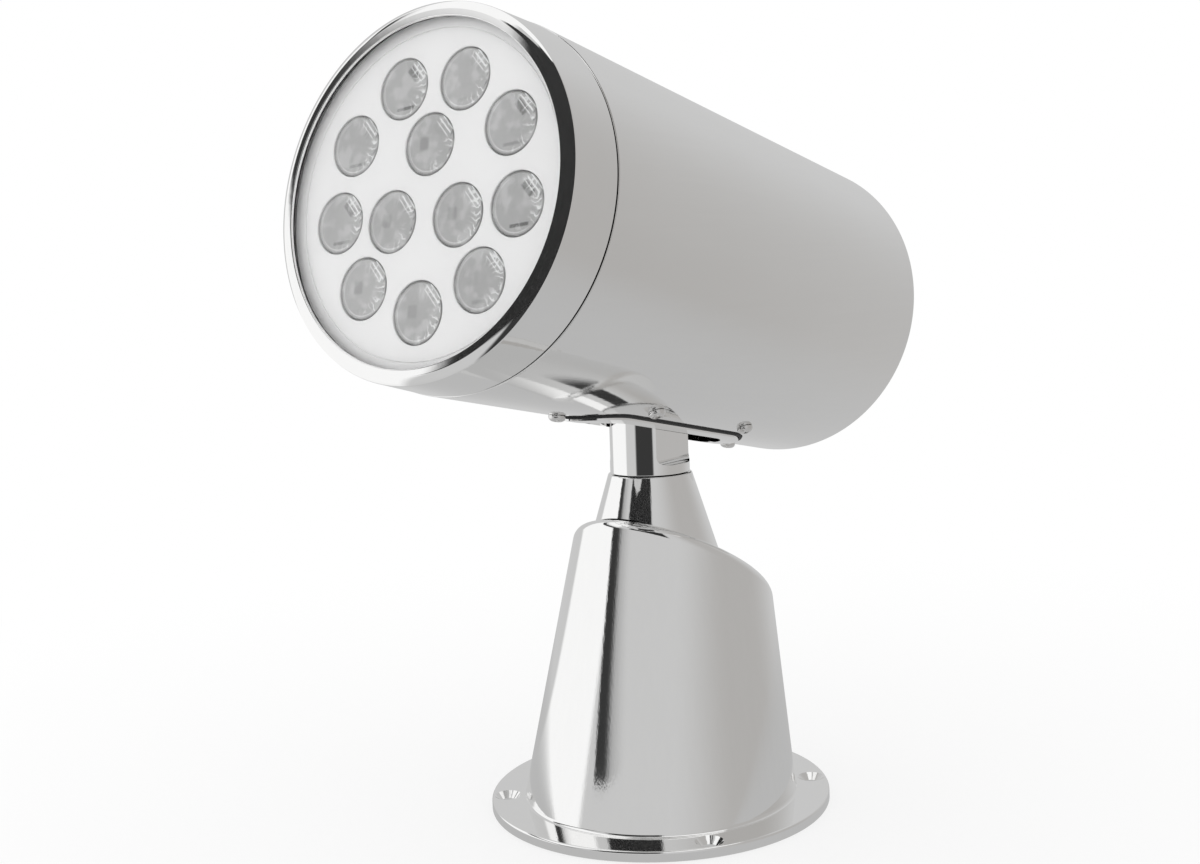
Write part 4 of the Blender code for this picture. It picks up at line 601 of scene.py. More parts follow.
def pedestal_shell(sizes):
    """Flange, leaning cone and sloping top, drawn up from one round blank."""
    clear_selection()
    bpy.ops.mesh.primitive_circle_add(vertices=sizes.steps, radius=sizes.flange_radius, fill_type="NGON")
    piece = named("pedestal_shell")
    bpy.ops.object.mode_set(mode="EDIT")
    bpy.ops.mesh.select_all(action="SELECT")
    bpy.ops.mesh.extrude_region_move(TRANSFORM_OT_translate={"value": (0.0, 0.0, FLANGE_THICKNESS)})
    bpy.ops.mesh.extrude_region_move()
    share = sizes.foot_radius / sizes.flange_radius
    bpy.ops.transform.resize(value=(share, share, 1.0), center_override=(0.0, 0.0, FLANGE_THICKNESS))
    height = TOP_HEIGHT + 0.030
    rise = height - FLANGE_THICKNESS
    lean = rise * math.tan(sizes.lean)
    share = 1.0 - rise * math.tan(sizes.taper) / sizes.foot_radius
    bpy.ops.mesh.extrude_region_move(TRANSFORM_OT_translate={"value": (0.0, lean, rise)})
    bpy.ops.transform.resize(value=(share, share, 1.0), center_override=(0.0, lean, height))
    bpy.ops.mesh.select_all(action="SELECT")
    bpy.ops.mesh.normals_make_consistent(inside=False)
    slope = (0.0, math.sin(TOP_SLOPE), math.cos(TOP_SLOPE))
    bpy.ops.mesh.bisect(plane_co=(0.0, 0.0, TOP_HEIGHT), plane_no=slope, use_fill=True, clear_outer=True)
    bpy.ops.object.mode_set(mode="OBJECT")
    normal = Vector(slope)
    top = Vector((0.0, 0.0, TOP_HEIGHT))
    round_edges(piece, lambda point: abs((point - top).dot(normal)) < 0.00001, sizes.edge, 10)

    def in_corner(point):
        on_top = abs(point.z - FLANGE_THICKNESS) < 0.00001
        return on_top and abs(point.to_2d().length - sizes.foot_radius) < 0.0001

    round_edges(piece, in_corner, sizes.fillet, 6)

    def on_edge(point):
        on_top = abs(point.z - FLANGE_THICKNESS) < 0.00001
        return on_top and point.to_2d().length > sizes.flange_radius - 0.0001

    round_edges(piece, on_edge, 0.0009, 5)
    round_edges(piece, lambda point: point.z < 0.00001, 0.0002, 2)
    depth = sizes.sink_radius - sizes.hole_radius
    sink = [(0.0, FLANGE_THICKNESS + FIT), (sizes.sink_radius + FIT, FLANGE_THICKNESS + FIT)]
    sink += [(sizes.hole_radius, FLANGE_THICKNESS - depth), (sizes.hole_radius, -0.001), (0.0, -0.001)]
    cutters = []
    for i, angle in enumerate(hole_angles()):
        centre = (sizes.hole_pitch * math.cos(angle), sizes.hole_pitch * math.sin(angle), 0.0)
        cutters.append(put(lathe(f"hole_{i}", sink, 64), Matrix.Translation(centre)))
    carve(piece, joined("mounting_holes", cutters))
    recess = sizes.foot_radius - 0.0025
    carve(piece, rod("cover_recess", recess, -0.001, COVER_THICKNESS + FIT, 128))
    return polish(piece)


class SEARCHLIGHT_OT_pedestal(bpy.types.Operator):
    """Model the pedestal shell with its flange and countersunk holes"""

    bl_idname = "searchlight.pedestal"
    bl_label = "Pedestal shell"

    def execute(self, context):
        piece = pedestal_shell(context.scene.searchlight_pedestal)
        dress(piece, "pedestal", "polished", FINISHES["upright_steel"], "pedestal_housing")
        return {"FINISHED"}


class SEARCHLIGHT_OT_underside(bpy.types.Operator):
    """Model the base cover, its screws and the cable gland"""

    bl_idname = "searchlight.underside"
    bl_label = "Underside"

    def execute(self, context):
        sizes = context.scene.searchlight_pedestal
        radius = sizes.foot_radius - 0.0025 - 0.0005
        profile = [(0.0, COVER_THICKNESS), (radius, COVER_THICKNESS)]
        profile += arc((radius - 0.0004, 0.0004), 0.0004, 0.0, -90.0, 3)
        profile += [(0.0, 0.0)]
        cover = put(lathe("cover_disc", profile, 128), Matrix.Rotation(0.02, 4, "Z"))
        carve(cover, rod("gland_hole", 0.0061, -0.01, 0.01, 48, (0.0280, 0.0)))
        centres = [((radius - 0.0035) * math.cos(angle), (radius - 0.0035) * math.sin(angle))
                   for angle in [math.radians(45.0 + 90.0 * i) for i in range(4)]]
        for i, centre in enumerate(centres):
            carve(cover, rod(f"sink_{i}", 0.0032, -0.0001, 0.0016, 48, centre, 0.0016))
        dress(polish(cover), "pedestal", "black_plastic", FINISHES["black"], "base_cover")
        head = lathe("cover_screw_head_1", [(0.0, 0.0002), (0.0026, 0.0002), (0.0029, 0.0),
                                            (0.0014, -0.0015), (0.0014, -0.0060),
                                            (0.0, -0.0060)], 40)
        carve(head, cross_recess(0.0016, 0.0010))
        polish(head)
        heads = [head] + [copy_of(head, f"cover_screw_head_{i}") for i in (2, 3, 4)]
        for i, (piece, centre) in enumerate(zip(heads, centres)):
            put(piece, Matrix.Translation((*centre, 0.0003)) @ Matrix.Rotation(math.pi, 4, "X"))
            dress(piece, "pedestal", "screw_steel", FINISHES["screw_steel"], f"cover_screw_{i + 1}")
        gland = lathe("gland_body", [(0.0032, 0.0003), (0.0034, 0.0001), (0.0052, 0.0001), (0.0056, 0.0005),
                                     (0.0058, 0.0025),
                                     (0.0082, 0.0025), (0.0082, 0.0050), (0.0058, 0.0056), (0.0058,
                                                                                            0.0125), (0.0048,
                                                                                                      0.0145),
                                     (0.0032, 0.0145)], 64, closed=True)
        put(gland, Matrix.Translation((0.0280, 0.0, 0.0)))
        dress(polish(gland), "pedestal", "black_rubber", FINISHES["rubber"], "cable_gland")
        return {"FINISHED"}


class SEARCHLIGHT_OT_neck(bpy.types.Operator):
    """Model the collar cone and the turned stem with its milled flats"""

    bl_idname = "searchlight.neck"
    bl_label = "Collar and stem"

    def execute(self, context):
        sizes = context.scene.searchlight_neck
        slope = math.tan(sizes.collar_taper)
        low = TOP_HEIGHT - 0.020
        edge = 0.0004
        mouth = SHAFT_RADIUS + 0.0009
        foot = sizes.collar_radius + (PAN_SEAM - low) * slope
        profile = [(0.0, low), (foot, low), (sizes.collar_radius + edge * slope, PAN_SEAM - edge)]
        profile += [(sizes.collar_radius - edge * 0.3, PAN_SEAM - edge * 0.3),
                    (sizes.collar_radius - edge, PAN_SEAM)]
        profile += [(mouth, PAN_SEAM), (mouth, PAN_SEAM - 0.004), (0.0, PAN_SEAM - 0.004)]
        collar = lathe("collar_cone", profile, sizes.steps)
        take(collar)
        bpy.ops.object.mode_set(mode="EDIT")
        bpy.ops.mesh.select_all(action="SELECT")
        normal = Vector((0.0, math.sin(TOP_SLOPE), math.cos(TOP_SLOPE)))
        seat = Vector((0.0, 0.0, TOP_HEIGHT)) + normal * 0.00005
        bpy.ops.mesh.bisect(plane_co=seat, plane_no=normal, use_fill=True, clear_inner=True)
        bpy.ops.object.mode_set(mode="OBJECT")
        dress(polish(collar), "pedestal", "polished", FINISHES["upright_steel"], "neck_collar")

        radius = sizes.stem_radius
        low = PAN_SEAM + FIT
        profile = arc((0.0, TILT_HEIGHT), radius, 90.0, 0.0, 16)
        profile[0] = (0.0, TILT_HEIGHT + radius)
        profile += [(radius, low + edge), (radius - edge * 0.3, low + edge * 0.3), (radius - edge, low)]
        profile += [(SHAFT_RADIUS, low), (SHAFT_RADIUS, 0.0340), (0.0, 0.0340)]
        stem = lathe("stem_turned", profile, sizes.steps)
        for side in (1.0, -1.0):
            near, far = sorted((side * TONGUE_HALF_WIDTH, side * 0.03))
            cutter = box("flat_cutter", (near, -0.03, sizes.flat_height), (far, 0.03, 0.19))
            inner = side * TONGUE_HALF_WIDTH
            round_edges(cutter, lambda point, inner=inner: abs(point.x - inner) < 0.0001 and point.z < 0.13,
                        sizes.flat_fillet, 8)
            carve(stem, cutter)
        pin = rod("pin_hole", sizes.pin_radius + FIT, -0.03, 0.03, 48)
        put(pin, Matrix.Translation((0.0, 0.0, TILT_HEIGHT)) @ Matrix.Rotation(math.pi / 2, 4, "Y"))
        carve(stem, pin)
        wire = rod("wire_exit", 0.0030, -0.03, 0.0, 40)
        put(wire, Matrix.Translation((0.0, 0.0, TILT_HEIGHT - 0.0130)) @ Matrix.Rotation(math.pi / 2, 4, "X"))
        carve(stem, wire)
        carve(stem, rod("wire_bore", 0.0030, 0.030, TILT_HEIGHT - 0.0130, 40))
        dress(polish(stem), "yoke", "polished", FINISHES["upright_steel"], "stem")
        return {"FINISHED"}


class SEARCHLIGHT_OT_barrel(bpy.types.Operator):
    """Model the barrel tube with its opening for the saddle"""

    bl_idname = "searchlight.barrel"
    bl_label = "Barrel"

    def execute(self, context):
        sizes = context.scene.searchlight_head
        seam = SEAM_STATION - 0.0005
        radius = sizes.barrel_radius
        profile = [(NECK_RADIUS - 0.0005, 0.1219), (NECK_RADIUS, 0.1214), (NECK_RADIUS, seam)]
        profile += [(radius - 0.0004, seam), (radius - 0.0001, seam - 0.0001), (radius, seam - 0.0004)]
        profile += [(radius, REAR_STATION + 0.0005)] + arc((radius - 0.0005, REAR_STATION + 0.0005), 0.0005,
                                                           0.0, -90.0, 3)[1:]
        profile += [(BARREL_INNER, REAR_STATION), (BARREL_INNER, seam - 0.006),
                    (NECK_RADIUS - 0.0025, seam - 0.003)]
        profile += [(NECK_RADIUS - 0.0025, 0.1219)]
        barrel = lathe("barrel_skin", profile, sizes.steps, closed=True)
        put(barrel, Matrix.Translation((0.0, 0.0, BARREL_RISE)) @ Matrix.Rotation(math.pi / 2, 4, "X"))
        lip = 0.0015
        carve(barrel, slot_block("saddle_opening", sizes.rim_half_width + lip, sizes.rim_half_length + lip,
                                 -0.05, 0.0))
        put(barrel, HEAD)
        dress(polish(barrel), "head", "brushed", FINISHES["barrel_steel"], "barrel_tube")
        return {"FINISHED"}


class SEARCHLIGHT_OT_bezel(bpy.types.Operator):
    """Model the front bezel"""

    bl_idname = "searchlight.bezel"
    bl_label = "Front bezel"

    def execute(self, context):
        sizes = context.scene.searchlight_head
        face = FACE_STATION
        seam = SEAM_STATION
        mouth = sizes.mouth_radius
        crown, turn, fall = sizes.bezel_crown, sizes.bezel_turn, sizes.bezel_fall
        small, soft = 0.0003, 0.0013
        middle = sizes.bezel_radius - crown * math.sin(fall)
        profile = arc((middle + (crown - soft) * math.sin(turn), face - soft), soft, 90.0,
                      90.0 - math.degrees(turn), 6)
        centre = (middle, face - soft - (crown - soft) * math.cos(turn))
        profile += arc(centre, crown, 90.0 - math.degrees(turn), 90.0 - math.degrees(fall), 12)[1:]
        profile += [(sizes.bezel_radius + 0.00015, profile[-1][1] - 0.00035)]
        profile += [(sizes.barrel_radius - 0.0002, seam + 0.0004), (sizes.barrel_radius - 0.0006, seam)]
        profile += [(NECK_RADIUS + FIT, seam), (NECK_RADIUS + FIT, 0.1222), (mouth + 0.0026, 0.1222)]
        profile += [(mouth + 0.0026, face - 0.0010), (mouth, face - 0.0010)]
        profile += arc((mouth + small, face - small), small, 180.0, 90.0, 4)
        bezel = lathe("bezel_ring", profile, sizes.steps, closed=True)
        put(bezel, LAMP)
        dress(polish(bezel), "head", "polished", FINISHES["ring_steel"], "front_bezel")
        return {"FINISHED"}


def lens_places(sizes):
    places = []
    for count, radius, first in (
        (sizes.outer_count, sizes.outer_pitch, math.pi / sizes.outer_count),
        (sizes.inner_count, sizes.inner_pitch, 0.0),
    ):
        for i in range(count):
            angle = math.pi / 2 - (first + WHOLE_TURN * i / count + sizes.module_turn)
            places.append((radius * math.cos(angle), radius * math.sin(angle)))
    return places


class SEARCHLIGHT_OT_plate(bpy.types.Operator):
    """Model the white reflector plate with its twelve openings"""

    bl_idname = "searchlight.plate"
    bl_label = "Reflector plate"

    def execute(self, context):
        sizes = context.scene.searchlight_lamp
        radius = context.scene.searchlight_head.mouth_radius + 0.0023
        ring = sizes.groove_radius
        high = PLATE_STATION
        profile = [(0.0, high), (ring - 0.00028, high), (ring - 0.00018, high - 0.00045),
                   (ring + 0.00018, high - 0.00045)]
        profile += [(ring + 0.00028, high), (radius - 0.0002, high), (radius, high - 0.0002),
                    (radius, high - 0.0015)]
        profile += [(0.0, high - 0.0015)]
        plate = lathe("plate_enamelled", profile, 192)
        punch = [(0.0, high + 0.0002), (sizes.opening + 0.0004, high + 0.0002),
                 (sizes.opening, high - 0.0002)]
        punch += [(sizes.opening, high - 0.01), (0.0, high - 0.01)]
        first = lathe("punch_0", punch, 96)
        punches = [first] + [copy_of(first, f"punch_{i}") for i in range(1, len(lens_places(sizes)))]
        for piece, (x, y) in zip(punches, lens_places(sizes)):
            put(piece, Matrix.Translation((x, y, 0.0)))
        carve(plate, joined("punches", punches))
        put(plate, LAMP)
        dress(polish(plate), "head", "white_plate", FINISHES["enamel"], "reflector_plate")
        return {"FINISHED"}


# How strong each optic's painted reflections of its cup's wall, its cup's foot and its chip are, ring by ring
# from the top
LENS_PAINTED_REFLECTIONS = (
    (0.1, 0.2, 0.0), (0.8, 0.4, 0.0), (1.0, 1.0, 0.0), (0.1, 0.3, 0.2), (0.0, 0.1, 0.6),
    (0.1, 0.1, 1.0), (0.6, 0.7, 0.0), (0.2, 0.7, 0.0), (0.8, 1.0, 0.0),
    (0.1, 0.0, 1.0), (0.0, 0.0, 0.9), (0.1, 0.0, 1.0),
)


def master_lens(sizes):
    """One moulded optic, face up at the origin: rim, shallow dish, tapering body."""
    rim = sizes.lens_radius
    profile = [(0.0, -0.00012), (rim * 0.50, -0.00009), (rim * 0.90, -0.00001), (rim * 0.955, 0.0)]
    profile += [(rim * 0.975, -0.00002), (rim * 0.993, -0.00010), (rim, -0.0003), (rim, -0.0016)]
    profile += [(rim - 0.0007, -0.0031), (0.0046, -0.0122), (0.0032, -0.0122), (0.0032, -0.0082),
                (0.0, -0.0082)]
    lens = lathe("lens_master", profile, 72)
    layer = lens.data.uv_layers.new(name="lens")
    for loop in lens.data.loops:
        place = lens.data.vertices[loop.vertex_index].co
        layer.data[loop.index].uv = (0.5 + place.x / (2 * rim), 0.5 + place.y / (2 * rim))
    return polish(lens)


class SEARCHLIGHT_OT_lenses(bpy.types.Operator):
    """Model one optic and set twelve copies behind the plate"""

    bl_idname = "searchlight.lenses"
    bl_label = "Lenses"

    def execute(self, context):
        sizes = context.scene.searchlight_lamp
        master = master_lens(sizes)
        for i, (x, y) in enumerate(lens_places(sizes)):
            lens = copy_of(master, f"lens_{i + 1:02d}")
            put(lens, LAMP @ Matrix.Translation((x, y, PLATE_STATION - 0.0004)))
            # Each copy carries the strengths of its painted reflections.
            painted_reflections = lens.data.attributes.new("painted_reflections", "FLOAT_COLOR", "POINT")
            for point in painted_reflections.data:
                point.color = (*LENS_PAINTED_REFLECTIONS[i % len(LENS_PAINTED_REFLECTIONS)], 1.0)
            dress(lens, "head", "lens_plastic", FINISHES["optic"], f"led_lens_{i + 1:02d}")
        discard(master)
        return {"FINISHED"}


class SEARCHLIGHT_OT_rear_cap(bpy.types.Operator):
    """Model the domed rear cap"""

    bl_idname = "searchlight.rear_cap"
    bl_label = "Rear cap"

    def execute(self, context):
        sizes = context.scene.searchlight_head
        rim = BARREL_INNER - FIT
        low = REAR_STATION + 0.0012
        dome, sag = sizes.dome_radius, sizes.dome_rise
        sphere = (dome ** 2 + sag ** 2) / (2 * sag)
        profile = [(0.0, low + 0.0022), (rim, low + 0.0022), (rim, low + 0.0006)]
        profile += [(rim - 0.0002, low + 0.0002), (rim - 0.0006, low), (dome + 0.0012, low),
                    (dome + 0.0004, low - 0.0001)]
        for i in range(1, 25):
            radius = dome * (1 - i / 24)
            profile.append((radius, low - math.sqrt(sphere ** 2 - radius ** 2) + sphere - sag))
        cap = lathe("rear_dome", profile, sizes.steps)
        put(cap, LAMP)
        dress(polish(cap), "head", "polished", FINISHES["cap_steel"], "rear_cap")
        return {"FINISHED"}


class SEARCHLIGHT_OT_saddle(bpy.types.Operator):
    """Model the saddle's rim, pocket and gasket under the barrel"""

    bl_idname = "searchlight.saddle"
    bl_label = "Saddle"

    def execute(self, context):
        sizes = context.scene.searchlight_head
        proud = sizes.barrel_radius + sizes.rim_proud
        inner = BARREL_INNER - 0.0044
        rim = shell("saddle_rim", inner + 0.0005, proud, sizes.steps)
        carve(rim, slot_block("rim_outline", sizes.rim_half_width, sizes.rim_half_length, -0.05, 0.0),
              "INTERSECT")
        flange = shell("saddle_flange", inner, BARREL_INNER - 0.0014, sizes.steps)
        carve(flange, slot_block("flange_outline", 0.0276, 0.0610, -0.05, 0.0), "INTERSECT")
        carve(rim, flange, "UNION")
        front, rear = SLOT_CENTRE - sizes.slot_half_length, SLOT_CENTRE + sizes.slot_half_length
        carve(rim, box("pocket_block", (-0.0140, front - 0.003, -0.0181), (0.0140, rear + 0.003, 0.0187)),
              "UNION")
        for side in (1.0, -1.0):
            ear = rod("ear", 0.0090, 0.0125, 0.0180, 48)
            put(ear, Matrix.Rotation(side * math.pi / 2, 4, "Y"))
            carve(rim, ear, "UNION")
        half = sizes.slot_half_width
        carve(rim, box("pocket_room", (-half, front - FIT, -0.0175), (half, rear + FIT, 0.0157)))
        carve(rim, slot_block("slot_opening", half - 0.00005, sizes.slot_half_length, -0.05, -0.010))
        pin = rod("ear_bore", 0.0068, -0.03, 0.03, 48)
        carve(rim, put(pin, Matrix.Rotation(math.pi / 2, 4, "Y")))
        apply_new_modifier(rim, "BEVEL", width=0.0003, segments=3, limit_method="ANGLE",
                           angle_limit=math.radians(50.0))
        put(rim, HEAD)
        dress(polish(rim, 40.0), "head", "aluminium", FINISHES["ring_steel"], "tilt_housing")

        lip = 0.0009
        gasket = shell("saddle_rubber", BARREL_INNER - 0.0011, sizes.barrel_radius + sizes.rim_proud / 2,
                       sizes.steps)
        carve(gasket, slot_block("gasket_outline", sizes.rim_half_width + FIT + lip,
                                 sizes.rim_half_length + FIT + lip, -0.05, 0.0),
              "INTERSECT")
        carve(gasket, slot_block("gasket_room", sizes.rim_half_width + FIT / 2,
                                 sizes.rim_half_length + FIT / 2, -0.05, 0.001))
        apply_new_modifier(gasket, "BEVEL", width=0.00015, segments=2, limit_method="ANGLE",
                           angle_limit=math.radians(50.0))
        put(gasket, HEAD)
        dress(polish(gasket, 40.0), "head", "black_rubber", FINISHES["rubber"], "saddle_gasket")
        return {"FINISHED"}


def cross_recess(reach, depth):
    """A cross-shaped cutter, narrower at the bottom."""
    arms = []
    for turn in (0.0, math.pi / 2):
        arm = box("arm", (-reach, -reach * 0.22, -depth), (reach, reach * 0.22, 0.004))
        take(arm)
        bpy.ops.object.mode_set(mode="EDIT")
        bpy.ops.mesh.select_mode(type="VERT")
        bpy.ops.mesh.select_all(action="DESELECT")
        bpy.ops.object.mode_set(mode="OBJECT")
        for vert in arm.data.vertices:
            vert.select = vert.co.z < 0.0
        bpy.ops.object.mode_set(mode="EDIT")
        bpy.ops.transform.resize(value=(0.55, 0.8, 1.0), center_override=(0.0, 0.0, -depth))
        bpy.ops.object.mode_set(mode="OBJECT")
        arms.append(put(arm, Matrix.Rotation(turn, 4, "Z")))
    return carve(arms[0], arms[1], "UNION")


def master_screw(sizes):
    """Pan head screw with a cross recess, seat at the origin, head up."""
    radius, top = sizes.screw_radius, sizes.screw_height
    profile = [(0.0, top)]
    crown = ((0.25, 0.992), (0.45, 0.965), (0.62, 0.905), (0.77, 0.80), (0.89, 0.64), (0.965, 0.45),
             (1.0, 0.25), (0.995, 0.04), (0.96, 0.0))
    profile += [(radius * share, top * rise) for share, rise in crown]
    profile += [(0.0015, 0.0), (0.0015, -0.0060), (0.0, -0.0060)]
    screw = lathe("screw_master", profile, 48)
    carve(screw, put(cross_recess(radius * 0.55, 0.0013), Matrix.Translation((0.0, 0.0, top))))
    return polish(screw)


class SEARCHLIGHT_OT_screws(bpy.types.Operator):
    """Model one pan head screw and copy it to the saddle and the rear cap"""

    bl_idname = "searchlight.screws"
    bl_label = "Screws"

    def execute(self, context):
        sizes = context.scene.searchlight_head
        master = master_screw(sizes)
        places = []
        lean = math.radians(22.2)
        spots = [(side * lean, SLOT_CENTRE + end * 0.0297) for side in (1.0, -1.0) for end in (-1.0, 1.0)]
        spots += [(0.0, SLOT_CENTRE - 0.0555), (0.0, SLOT_CENTRE + 0.0555)]
        for i, (angle, along) in enumerate(spots):
            spun = Euler((math.pi, -angle, 0.0)).to_matrix().to_4x4()
            stand = Matrix.Translation((0.0, along, BARREL_RISE)) @ spun
            spin = Matrix.Rotation(0.4 + 1.1 * i, 4, "Z")
            seat = Matrix.Translation((0.0, 0.0, sizes.barrel_radius + 0.00005))
            places.append((f"saddle_bolt_{i + 1}", f"saddle_screw_{i + 1}", HEAD @ stand @ seat @ spin))
        pitch = BARREL_INNER - FIT - 0.0046
        for i in range(4):
            angle = math.radians(45.0 + 90.0 * i)
            stand = Matrix.Translation((pitch * math.cos(angle), pitch * math.sin(angle),
                                        REAR_STATION + 0.00115))
            spin = Matrix.Rotation(math.pi, 4, "X") @ Matrix.Rotation(0.7 * i, 4, "Z")
            places.append((f"rear_bolt_{i + 1}", f"rear_screw_{i + 1}", LAMP @ stand @ spin))
        for name, node, matrix in places:
            screw = put(copy_of(master, name), matrix)
            dress(screw, "head", "screw_steel", FINISHES["screw_steel"], node)
        discard(master)
        return {"FINISHED"}


class SEARCHLIGHT_OT_inner_parts(bpy.types.Operator):
    """Give the parts inside the housing their finishes"""

    bl_idname = "searchlight.inner_parts"
    bl_label = "Inner parts"

    def execute(self, context):
        kinds = {
            "bronze": ("pan_bush_upper", "pan_bush_lower", "tilt_bush_left", "tilt_bush_right", "pan_pinion",
                       "tilt_pinion"),
            "rubber": ("pan_seal", "rear_seal", "front_gasket"),
            "cast": ("gear_plate", "heat_sink", "tilt_motor_bracket"),
            "screw_steel": ("pan_motor", "tilt_motor", "shaft_nut", "tilt_pin", "pin_clip"),
            "board": ("control_board", "driver_board"),
            "enamel": ("led_board",),
            "nylon": ("pan_gear", "tilt_gear"),
            "glass": ("front_glass",),
        }
        for finish, nodes in kinds.items():
            for node in nodes:
                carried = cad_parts[node]
                if not carried.material_slots:
                    carried.data.materials.append(FINISHES[finish])
                for place in carried.material_slots:
                    place.material = FINISHES[finish]
        return {"FINISHED"}


# Studio


# A soft key panel at the left, an even fill round the rest and a dimmer right side, with a few dark flags
KEY = (1.0, 1.0, 1.0)
FILL = (0.60, 0.60, 0.60)
DIM = (0.46, 0.45, 0.44)
FLOOR_SHADOW_TONE = (0.50, 0.50, 0.50)
DARK = (0.04, 0.04, 0.04)
KEY_MIDDLE = -155.0
KEY_HALF = 30.0
DIM_MIDDLE = 25.0
DIM_HALF = 45.0
WALL_RADIUS = 3.0
WALL_LOW = -0.2
WALL_HIGH = 6.0
BOARD_RADIUS = 0.20
BOARD_LOW = 0.160
BOARD_HIGH = 0.420
FLOOR_DROP = 0.0002


def round_studio(finish):
    """Degrees round the studio, how far out and how high a point on its wall or floor is."""
    where = finish.place()
    across, along, height = [finish.part(where, axis) for axis in (0, 1, 2)]
    degrees = along.maths("ARCTAN2", along, across) * (180.0 / math.pi)
    return degrees, (across * across + along * along).root(), height


def surroundings(finish, degrees):
    """The soft panels round the studio: the key is all that lies outside the rest."""
    rest = degrees.within(KEY_MIDDLE + 180.0, 180.0 - KEY_HALF, 3.0)
    side = degrees.within(DIM_MIDDLE, DIM_HALF, 30.0)
    return finish.blend(rest, KEY, finish.blend(side, FILL, DIM))


def round_screen(name, radius, low, high):
    """An open cylinder that only the polished surfaces see."""
    clear_selection()
    middle = (0.0, 0.0, (high + low) / 2)
    bpy.ops.mesh.primitive_cylinder_add(vertices=192, radius=radius, depth=high - low, location=middle,
                                        end_fill_type="NOTHING")
    screen = fix_place(named(name))
    screen.visible_camera = False
    screen.visible_diffuse = False
    screen.visible_shadow = False
    return screen


def make_wall():
    """A round wall of soft panels with a slanted dark flag and a high dark one."""
    wall = round_screen("studio_wall", WALL_RADIUS, WALL_LOW, WALL_HIGH)
    finish = Finish("studio_wall", (0.0, 0.0, 0.0), 1.0, specular_ior_level=0.0, emission_strength=1.0)
    degrees, _, height = round_studio(finish)
    past = degrees + 98.0 + height * 30.0
    fade = past.smooth_from(12.0, 3.5) * 0.5 + past.smooth_from(27.0, 0.0) * 0.5
    slanted = past.smooth_from(-8.5, -5.5) * fade * (height - degrees * 0.006).smooth_from(1.05, 1.07)
    high = degrees.within(-80.0, 24.0, 3.0) * height.smooth_from(1.16, 1.22)
    dark = high.maths("MAXIMUM", slanted, high)
    finish.set("Emission Color", finish.blend(dark, surroundings(finish, degrees), DARK))
    wall.data.materials.append(finish.material)


def make_front_board():
    """A dark curved board in front, at the height of the lamp's face and the collar."""
    board = round_screen("front_board", BOARD_RADIUS, BOARD_LOW, BOARD_HIGH)
    finish = Finish("front_board", DARK, 1.0, specular_ior_level=0.0)
    degrees, _, height = round_studio(finish)
    finish.set("Alpha", degrees.within(-80.0, 24.0, 2.0) * height.smooth_from(0.162, 0.172))
    board.data.materials.append(finish.material)


def make_floor():
    """A pale floor; polished surfaces see it a little darker than the panels and darkest near the object as
    painted shadow, with a dark stand on it.
    """
    clear_selection()
    bpy.ops.mesh.primitive_plane_add(size=12.0, location=(0.0, 0.0, -FLOOR_DROP))
    floor = fix_place(named("studio_floor"))
    finish = Finish("studio_floor", (0.94, 0.94, 0.94), 0.9, specular_ior_level=0.0)
    degrees, reach, _ = round_studio(finish)
    # Polished surfaces see the floor darker near the object: painted shadow.
    colour = finish.blend(reach.smooth_from(0.10, 0.45), FLOOR_SHADOW_TONE, surroundings(finish, degrees))
    stand = degrees.within(-70.0, 24.5, 3.0) * reach.smooth_from(0.29, 0.41)
    colour = finish.blend(stand, colour, DARK)
    mirrored = finish.add("ShaderNodeEmission", None, {"Color": colour, "Strength": 1.0})
    plain = finish.add("ShaderNodeEmission", None, {"Color": (1.0, 1.0, 1.0), "Strength": 1.0})
    path = finish.tree.nodes.new("ShaderNodeLightPath")
    seen, glossy = [Wire(finish, path.outputs[name]) for name in ("Is Camera Ray", "Is Glossy Ray")]
    shaded = Wire(finish, finish.shader.outputs[0])
    bright = 0.72 + reach.smooth_from(0.12, 0.5) * 0.28
    first = finish.add("ShaderNodeMixShader", None, {0: seen * bright, 1: shaded, 2: plain})
    second = finish.add("ShaderNodeMixShader", None, {0: glossy, 1: first, 2: mirrored})
    output = next(node for node in finish.tree.nodes if node.type == "OUTPUT_MATERIAL")
    finish.feed(output.inputs["Surface"], second)
    floor.data.materials.append(finish.material)


def make_world():
    """An even white light from all round."""
    world = bpy.data.worlds.new("studio")
    bpy.context.scene.world = world
    world.use_nodes = True
    light = world.node_tree.nodes["Background"]
    light.inputs["Color"].default_value = (1.0, 1.0, 1.0, 1.0)
    light.inputs["Strength"].default_value = 1.0


# Metres and degrees: where the photograph was taken from
CAMERA_PLACE = (0.3105, -0.4457, 0.1970)
CAMERA_ANGLES = (87.84, 1.92, 34.5)


def make_camera():
    data = bpy.data.cameras.new("camera")
    data.sensor_width = 36.0
    data.lens = 44.31
    data.shift_x = -0.0438
    data.shift_y = -0.0922
    data.clip_start = 0.01
    camera = bpy.data.objects.new("camera", data)
    bpy.context.scene.collection.objects.link(camera)
    camera.location = CAMERA_PLACE
    camera.rotation_euler = [math.radians(angle) for angle in CAMERA_ANGLES]
    bpy.context.scene.camera = camera


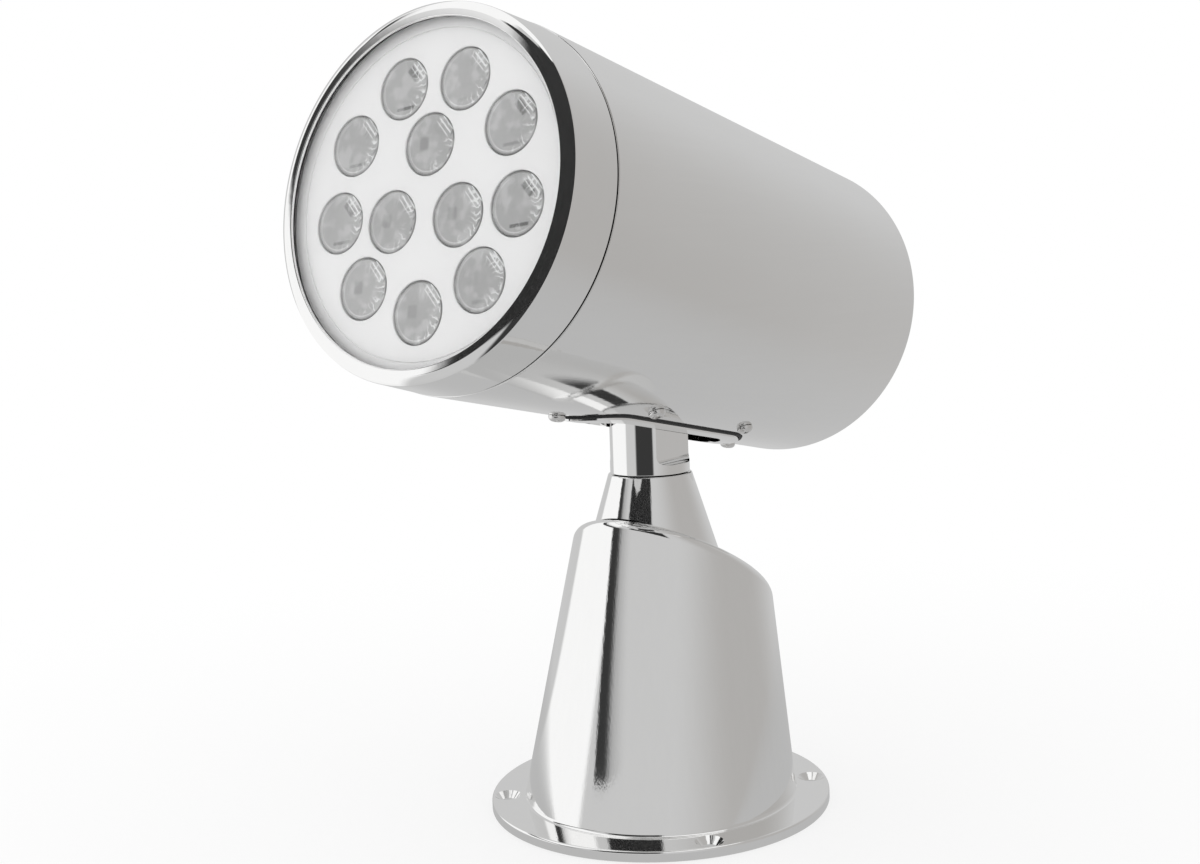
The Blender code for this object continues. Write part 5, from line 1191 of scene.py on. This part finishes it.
class SEARCHLIGHT_OT_stage(bpy.types.Operator):
    """Set the floor, the soft studio light and the camera"""

    bl_idname = "searchlight.stage"
    bl_label = "Studio"

    def execute(self, context):
        make_world()
        make_floor()
        make_wall()
        make_front_board()
        make_camera()
        context.scene.view_settings.view_transform = "Standard"
        return {"FINISHED"}


OPERATORS = (
    SEARCHLIGHT_OT_finishes,
    SEARCHLIGHT_OT_pedestal,
    SEARCHLIGHT_OT_underside,
    SEARCHLIGHT_OT_neck,
    SEARCHLIGHT_OT_barrel,
    SEARCHLIGHT_OT_bezel,
    SEARCHLIGHT_OT_plate,
    SEARCHLIGHT_OT_lenses,
    SEARCHLIGHT_OT_rear_cap,
    SEARCHLIGHT_OT_saddle,
    SEARCHLIGHT_OT_screws,
    SEARCHLIGHT_OT_inner_parts,
    SEARCHLIGHT_OT_stage,
)


class SEARCHLIGHT_PT_sidebar(bpy.types.Panel):
    """Lists the searchlight's operators in the order they run"""

    bl_idname = "SEARCHLIGHT_PT_sidebar"
    bl_label = "Searchlight"
    bl_space_type = "VIEW_3D"
    bl_region_type = "UI"
    bl_category = "Searchlight"

    def draw(self, context):
        for operator in OPERATORS:
            self.layout.operator(operator.bl_idname)


SIZE_GROUPS = {
    "searchlight_pedestal": PedestalSizes,
    "searchlight_neck": NeckSizes,
    "searchlight_head": HeadSizes,
    "searchlight_lamp": LampSizes,
    "searchlight_colours": FinishColours,
}


def register():
    for group in SIZE_GROUPS.values():
        bpy.utils.register_class(group)
    for name, group in SIZE_GROUPS.items():
        setattr(bpy.types.Scene, name, PointerProperty(type=group))
    for operator in OPERATORS:
        bpy.utils.register_class(operator)
    bpy.utils.register_class(SEARCHLIGHT_PT_sidebar)


def unregister():
    bpy.utils.unregister_class(SEARCHLIGHT_PT_sidebar)
    for operator in reversed(OPERATORS):
        bpy.utils.unregister_class(operator)
    for name in SIZE_GROUPS:
        delattr(bpy.types.Scene, name)
    for group in reversed(list(SIZE_GROUPS.values())):
        bpy.utils.unregister_class(group)


def main():
    register()
    for operator in OPERATORS:
        group, name = operator.bl_idname.split(".")
        result = getattr(getattr(bpy.ops, group), name)()
        if result != {"FINISHED"}:
            raise RuntimeError(f"{operator.bl_label} did not finish")
    clear_selection()


if __name__ == "__main__":
    main()
